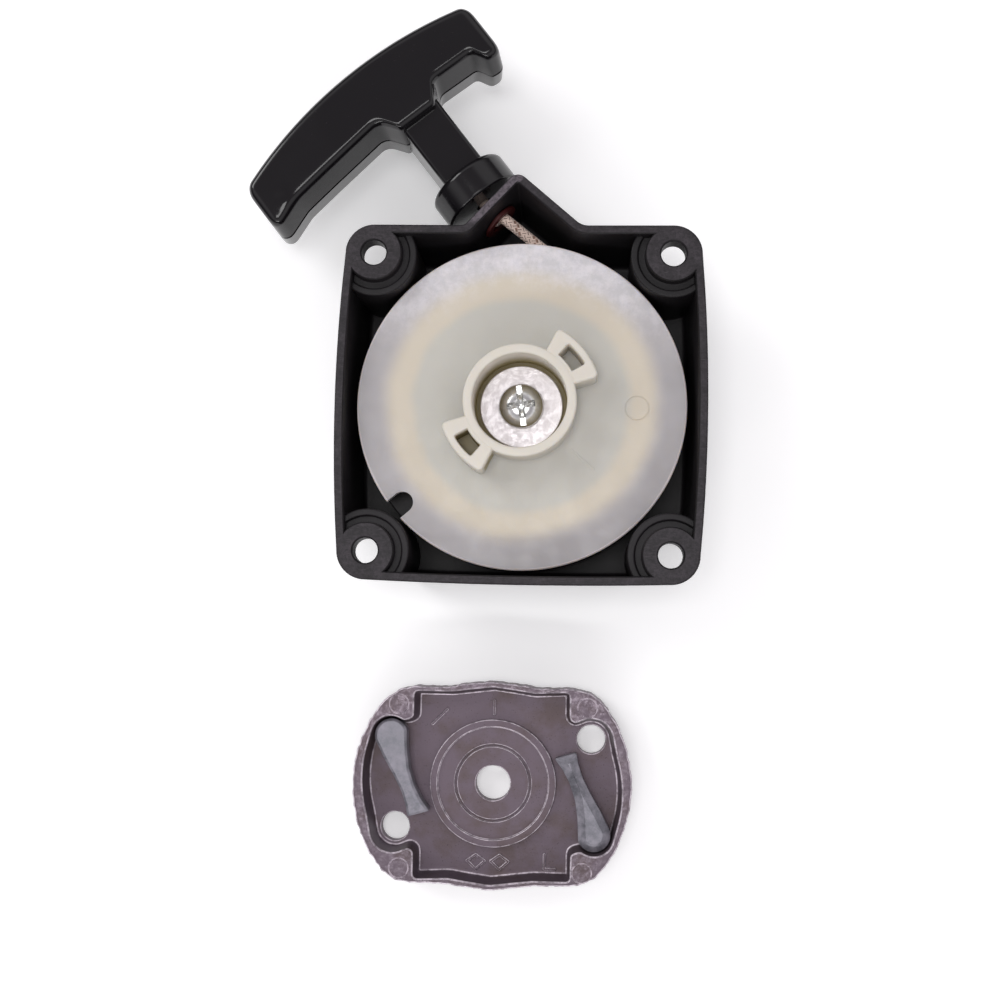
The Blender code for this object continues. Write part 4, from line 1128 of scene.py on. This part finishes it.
def makeHandle():
    h = handle
    bar = makeBar()
    w, t = h["stemHalfWidth"], h["stemHalfHeight"]
    section = rounded([(w, -t, 1.0), (w, t, 1.0), (-w, t, 1.0), (-w, -t, 1.0)], steps=6)
    rows = []
    for along, flare in ((45.0, 0.0), (50.0, 0.0), (55.0, 0.0), (60.0, 0.0), (64.0, 0.0), (69.0, 0.1)):
        across, height = section[:, 0] * (1 + flare / w), section[:, 1] * (1 + flare * 0.9 / t)
        rows.append(np.stack([across, np.full(len(section), along), height], 1))
    combine(bar, solid("stem", [placedOnHandle(np.array(rows))]), "UNION")
    length = h["collarTo"] - h["collarFrom"]
    profile = rounded([(0.05, 0, 0), (h["collarRadius"], 0, 0.5), (h["collarRadius"], length - 1.0, 1.6),
                       (h["collarRadius"] - 2.6, length, 1.4), (0.05, length, 0)], closed=False, steps=7)
    collar = lathe(profile, 120)
    collar = np.stack([collar[..., 0], collar[..., 2] + h["collarFrom"], collar[..., 1]], 2)
    combine(bar, solid("collar", [placedOnHandle(collar)]), "UNION")
    ropeHole = (h["bore"], 35.0, h["pocketFrom"] + 2)
    knotPocket = (h["pocketRadius"], h["pocketFrom"], 92.0)
    for radius, start, end in (ropeHole, knotPocket):
        hole = np.array([(radius, 0.0), (radius, end - start)])
        combine(bar, solid("handle_hole", [laidAlong(lathe(hole, 56), handlePoint(0, start), pullAxis)]))
    finished(bar, gloss, "handle_body", "gloss_black", "pull_handle", sharp=30)

    capProfile = rounded([
        (0.05, 0, 0), (4.3, 0, 0.2), (4.3, 1.8, 0.5), (3.2, 2.35, 0.6), (0.05, 2.4, 0)],
        closed=False, steps=5)
    cap = solid("cap_disc", [laidAlong(lathe(capProfile, 56), handlePoint(0, 81.4), pullAxis)])
    finished(cap, gloss, "handle_body", "gloss_black", "handle_cap")
    washer = rounded([(1.6, 0, 0.1), (4.2, 0, 0.15), (4.2, 0.8, 0.15), (1.6, 0.8, 0.1)], steps=3)
    seat = handlePoint(0, h["pocketFrom"] + 0.3)
    ring = solid("knot_washer_disc", [laidAlong(lathe(washer, 48), seat, pullAxis)], rings=True)
    finished(ring, zinc, "handle_body", "bright_steel", "knot_washer")


makeHandle()
print("handle stage done")


plate = {
    "floor": 3.0, "ring": (12.7, 14.4, 4.6), "boss": (8.2, 8.8, 3.9), "bore": 3.95,
    "pusher": (22.25, 10.35, 3.25), "pivot": (-23.1, 10.55), "flash": 0.14, "draft": 0.75,
    "ejectors": ((21.3, 17.7), (-21.3, 17.7), (20.5, -18.7), (-20.5, -18.7)),
}
plateLow, plateHigh = boxOf("pawl_plate")
plateCentre = (plateLow + plateHigh) / 2
plateTall = plateHigh[2] - plateLow[2]


def platePath():
    # crowned sides as arcs, rounded corners and a gentle bulge in each long edge; the other half is
    # the same, turned round
    side = arcThrough((26.6, -16.4), (31.6, 0.0), (26.6, 16.8), 16)
    rest = [(24.6, 19.3), (22.8, 20.8), (20.6, 21.7), (18.0, 22.1), (10.5, 22.0), (6.5, 22.7), (0.0, 23.3),
            (-6.5, 22.6), (-10.5, 22.0), (-17.5, 22.0), (-21.0, 21.4), (-24.2, 19.4)]
    half = np.concatenate([side, rest])
    return softened(evenly(np.concatenate([half, -half]), 0.35), 6)


def cavityPath():
    # a long middle between four corner blocks, with a round pocket at each pawl's head and each hole
    holeX, holeY, _ = plate["pusher"]
    headX, headY = -plate["pivot"][0], -plate["pivot"][1]
    head = arc((headX, headY), 4.45, -130, -20, 16)
    side = arcThrough((28.0, -9.4), (29.2, 0.5), (27.4, 8.6), 10)[1:-1]
    hole = arc((holeX, holeY), 5.0, 15, 118, 14)
    rest = [(18.6, 14.2), (17.5, 14.8), (17.3, 15.8), (17.3, 20.4), (16.7, 21.0), (9.5, 20.6), (5.5, 21.2),
            (0.0, 21.9), (-5.5, 21.2), (-9.5, 20.7), (-17.4, 20.7), (-17.9, 20.2), (-17.9, 15.0),
            (-18.6, 14.4)]
    half = np.concatenate([head, side, hole, rest])
    return softened(evenly(np.concatenate([half, -half]), 0.25), 5)


def makePlate():
    p = plate
    path = platePath()
    wobble = np.random.default_rng(7).normal(0, 1, len(path))
    wobble = p["flash"] * np.clip(softened(wobble[:, None], 3)[:, 0] * 1.6, -1, 1)
    outside = rounded(
        [(-1.6, 0, 0), (0, 0, 0.7), (0, plateTall, 0.55), (-1.0, plateTall, 0)], closed=False, steps=5)
    shell = carried(path, outside)
    onWall = np.clip((outside[:, 0] + 1.0), 0, 1)  # the rough edge fades out on the flat faces
    waver = onWall[:, None, None] * ((wobble - p["flash"])[:, None] * outwardOf(path))[None]
    shell[..., :2] += waver
    body = solid("plate_casting", [shell])
    inside = rounded([(-1.5, p["floor"], 0), (-p["draft"], p["floor"], 0.5), (0, plateTall - 0.35, 0.25),
                      (0.4, plateTall + 0.05, 0), (0.4, plateTall + 3, 0)], closed=False, steps=4)
    combine(body, solid("plate_cavity", [carried(cavityPath(), inside)]))
    ringIn, ringOut, ringTop = p["ring"]
    boss, groove, bossTop = p["boss"]
    middle = rounded([
        (0.1, 1.5, 0), (ringOut, 1.5, 0), (ringOut, ringTop, 0.3), (ringIn, ringTop, 0.3),
        (ringIn, bossTop, 0.2), (groove, bossTop, 0.2), (groove, bossTop - 0.75, 0.1),
        (boss, bossTop - 0.75, 0.1), (boss, bossTop, 0.25), (0.1, bossTop, 0)], closed=False, steps=4)
    combine(body, solid("plate_middle", [lathe(middle, 160)]), "UNION")
    x, y, radius = p["pusher"]
    for sign in (1, -1):
        edge = rounded([
            (radius, -2, 0), (radius, p["floor"] - 0.25, 0.2), (radius + 0.3, p["floor"] + 0.05, 0),
            (radius + 0.3, 6, 0)], closed=False, steps=3)
        combine(body, solid("pusher_hole", [moved(lathe(edge, 56), (sign * x, sign * y, 0))]))
        socket = lathe(np.array([(1.8, 1.0), (1.8, 5.0)]), 32)
        pivotPlace = (sign * p["pivot"][0], sign * p["pivot"][1], 0)
        combine(body, solid("pivot_socket", [moved(socket, pivotPlace)]))
    bore, wide = p["bore"], p["bore"] + 0.25
    crank = rounded([
        (bore, -2, 0), (bore, bossTop - 0.28, 0.2), (wide, bossTop + 0.05, 0), (wide, 8, 0)],
        closed=False, steps=4)
    combine(body, solid("crank_bore", [lathe(crank, 72)]))
    for spotX, spotY in p["ejectors"]:
        pin = rounded([(2.16, plateTall - 0.14, 0), (2.22, plateTall - 0.14, 0), (2.38, plateTall + 0.06, 0),
                       (2.38, plateTall + 1, 0), (2.0, plateTall + 1, 0), (2.0, plateTall + 0.06, 0)])
        combine(body, solid("ejector_ring", [moved(lathe(pin, 40), (spotX, spotY, 0))], rings=True))
    # plain foundry marks: a tick at the top, corner strokes, and two small diamonds
    corners = ((-5.6, -17.6), (-3.6, -19.4), (-1.6, -17.6), (-3.6, -16.2))
    diamond = list(zip(corners, corners[1:] + corners[:1]))
    strokes = [((0.0, 15.6), (0.0, 18.6)), ((-14.2, 13.0), (-10.8, 16.4)),
               ((12.0, -15.8), (12.0, -19.0)), ((12.0, -19.0), (14.4, -19.0))]
    strokes += diamond + [((a[0] + 5.4, a[1]), (b[0] + 5.4, b[1])) for a, b in diamond]
    for start, end in strokes:
        mark = raisedBar(start, end, 0.3, p["floor"] - 0.5, p["floor"] + 0.32)
        combine(body, solid("mark", [mark]), "UNION")
    shiftInPlace(body, plateCentre[0], plateCentre[1], plateLow[2])
    return finished(body, alloy, "plate_body", "cast_alloy", "pawl_plate", sharp=30)


def shiftInPlace(obj, x, y, z=0.0):
    points = np.zeros(len(obj.data.vertices) * 3)
    obj.data.vertices.foreach_get("co", points)
    points = points.reshape(-1, 3) + np.array([x, y, z]) * mm
    obj.data.vertices.foreach_set("co", points.ravel())


makePlate()


pawl = {"head": 3.75, "pin": 1.5,
        "facet": {"pawl_left": (0.5, 0.3), "pawl_right": (1.7, 0.75)}}  # (width, depth) of the ground edge


def pawlPath():
    # round head, narrow waist and a flared tip, about the pivot
    head = arc((0, 0), pawl["head"], 22, 218, 24)
    rest = [(-1.6, -5.0), (0.8, -9.0), (2.7, -12.6), (3.7, -15.6), (4.15, -18.1), (9.05, -16.7), (7.2, -14.3),
            (5.6, -11.4), (4.3, -7.6), (3.7, -3.6)]
    return softened(evenly(np.concatenate([head, rest]), 0.22), 4)


def makePawls():
    for name, sign, turn in (("pawl_left", 1, 0.0), ("pawl_right", -1, 180.0)):
        low, high = boxOf(name)
        bottom = plateLow[2] + 3.3
        wide, deep = pawl["facet"][name]
        top = high[2]
        profile = np.array([
            (-0.5, bottom), (-0.15, bottom + 0.15), (0, bottom + 0.5), (0, top - deep - 0.1),
            (-0.12, top - deep), (-wide + 0.12, top - 0.1), (-wide - 0.05, top)])
        place = (plateCentre[0] + sign * plate["pivot"][0], plateCentre[1] + sign * plate["pivot"][1], 0)
        body = solid(name + "_steel", [moved(carried(pawlPath(), profile), place, turn)])
        pin = rounded([
            (0.05, low[2], 0), (pawl["pin"], low[2], 0.3), (pawl["pin"], bottom + 1, 0),
            (0.05, bottom + 1, 0)], closed=False, steps=4)
        combine(body, solid("pivot_pin", [moved(lathe(pin, 40), place)]), "UNION")
        finished(body, pawlSteel, name + "_body", "cast_alloy", name, sharp=25)


makePawls()
print("plate stage done")


kept = {
    "threaded_insert": (brass, "brass"), "spring_case": (nylon, "black_nylon"),
    "recoil_spring": (springSteel, "spring_steel"), "spring_cover": (zinc, "bright_steel"),
}
for name, (material, slotName) in kept.items():
    obj = frame["nodes"][name]
    obj.data.materials.clear()
    obj.data.materials.append(material)
print("inner parts finished")


stageLook = {"floorSize": 6.0, "floorHeight": -0.0002, "floorColour": (0.93, 0.93, 0.935), "floorGlow": 0.25,
             "horizon": (0.08, 0.08, 0.085), "walls": (0.82, 0.80, 0.82), "ceiling": (0.34, 0.32, 0.34),
             "backdrop": (0.9, 0.9, 0.905)}


def makeFloor():
    half = stageLook["floorSize"] / 2
    mesh = bpy.data.meshes.new("floor")
    corners = [(-half, -half), (half, -half), (half, half), (-half, half)]
    mesh.from_pydata([(x, y, stageLook["floorHeight"]) for x, y in corners], [], [(0, 1, 2, 3)])
    obj = bpy.data.objects.new("floor", mesh)
    bpy.context.scene.collection.objects.link(obj)
    material, tree, shader, where = newMaterial("pale_paper", 0.9)
    tone = between(tree, noise(tree, where, 3.0), 0.3, 0.7)
    pale = stageLook["floorColour"]
    tree.links.new(blended(tree, tone, pale, tuple(c * 0.99 for c in pale)), shader.inputs["Base Color"])
    shader.inputs["Emission Color"].default_value = (1.0, 1.0, 1.0, 1.0)
    shader.inputs["Emission Strength"].default_value = stageLook["floorGlow"]
    mesh.materials.append(material)


def makeLight(name, place, aim, size, watts):
    data = bpy.data.lights.new(name, "AREA")
    data.shape = "RECTANGLE"
    data.size, data.size_y = size
    data.energy = watts
    obj = bpy.data.objects.new(name, data)
    bpy.context.scene.collection.objects.link(obj)
    obj.location = place
    direction = np.array(aim, float) - np.array(place, float)
    obj.rotation_euler = Vector(direction).to_track_quat("-Z", "Y").to_euler()


def makeWorld():
    # a soft room: dark round the horizon, pale walls, a darker ceiling behind the softbox; where it is
    # seen itself, a pale sheet
    world = bpy.data.worlds.new("soft_room")
    world.use_nodes = True
    tree = world.node_tree
    way = split3(tree, node(tree, "ShaderNodeTexCoord").outputs["Generated"])
    up = math2(tree, "ADD", way["Z"], math2(tree, "MULTIPLY", way["X"], 0.15))
    wall = blended(tree, between(tree, up, 0.15, 0.6), stageLook["horizon"], stageLook["walls"])
    sky = blended(tree, between(tree, way["Z"], 0.76, 0.88), wall, stageLook["ceiling"])
    seen = node(tree, "ShaderNodeLightPath").outputs["Is Camera Ray"]
    tree.links.new(blended(tree, seen, sky, stageLook["backdrop"]), tree.nodes["Background"].inputs["Color"])
    bpy.context.scene.world = world


makeFloor()
makeWorld()
makeLight("overhead_softbox", (-0.08, -0.03, 1.2), (-0.08, -0.03, 0), (0.55, 0.38), 3.6)
makeLight("left_softbox", (-0.9, 0.55, 0.75), (0, 0, 0), (0.6, 0.5), 4.5)
makeLight("front_strip", (-0.05, -0.95, 0.55), (0, 0, 0), (0.9, 0.06), 2.4)
bpy.context.scene.view_settings.view_transform = "Standard"
print("floor and light set")
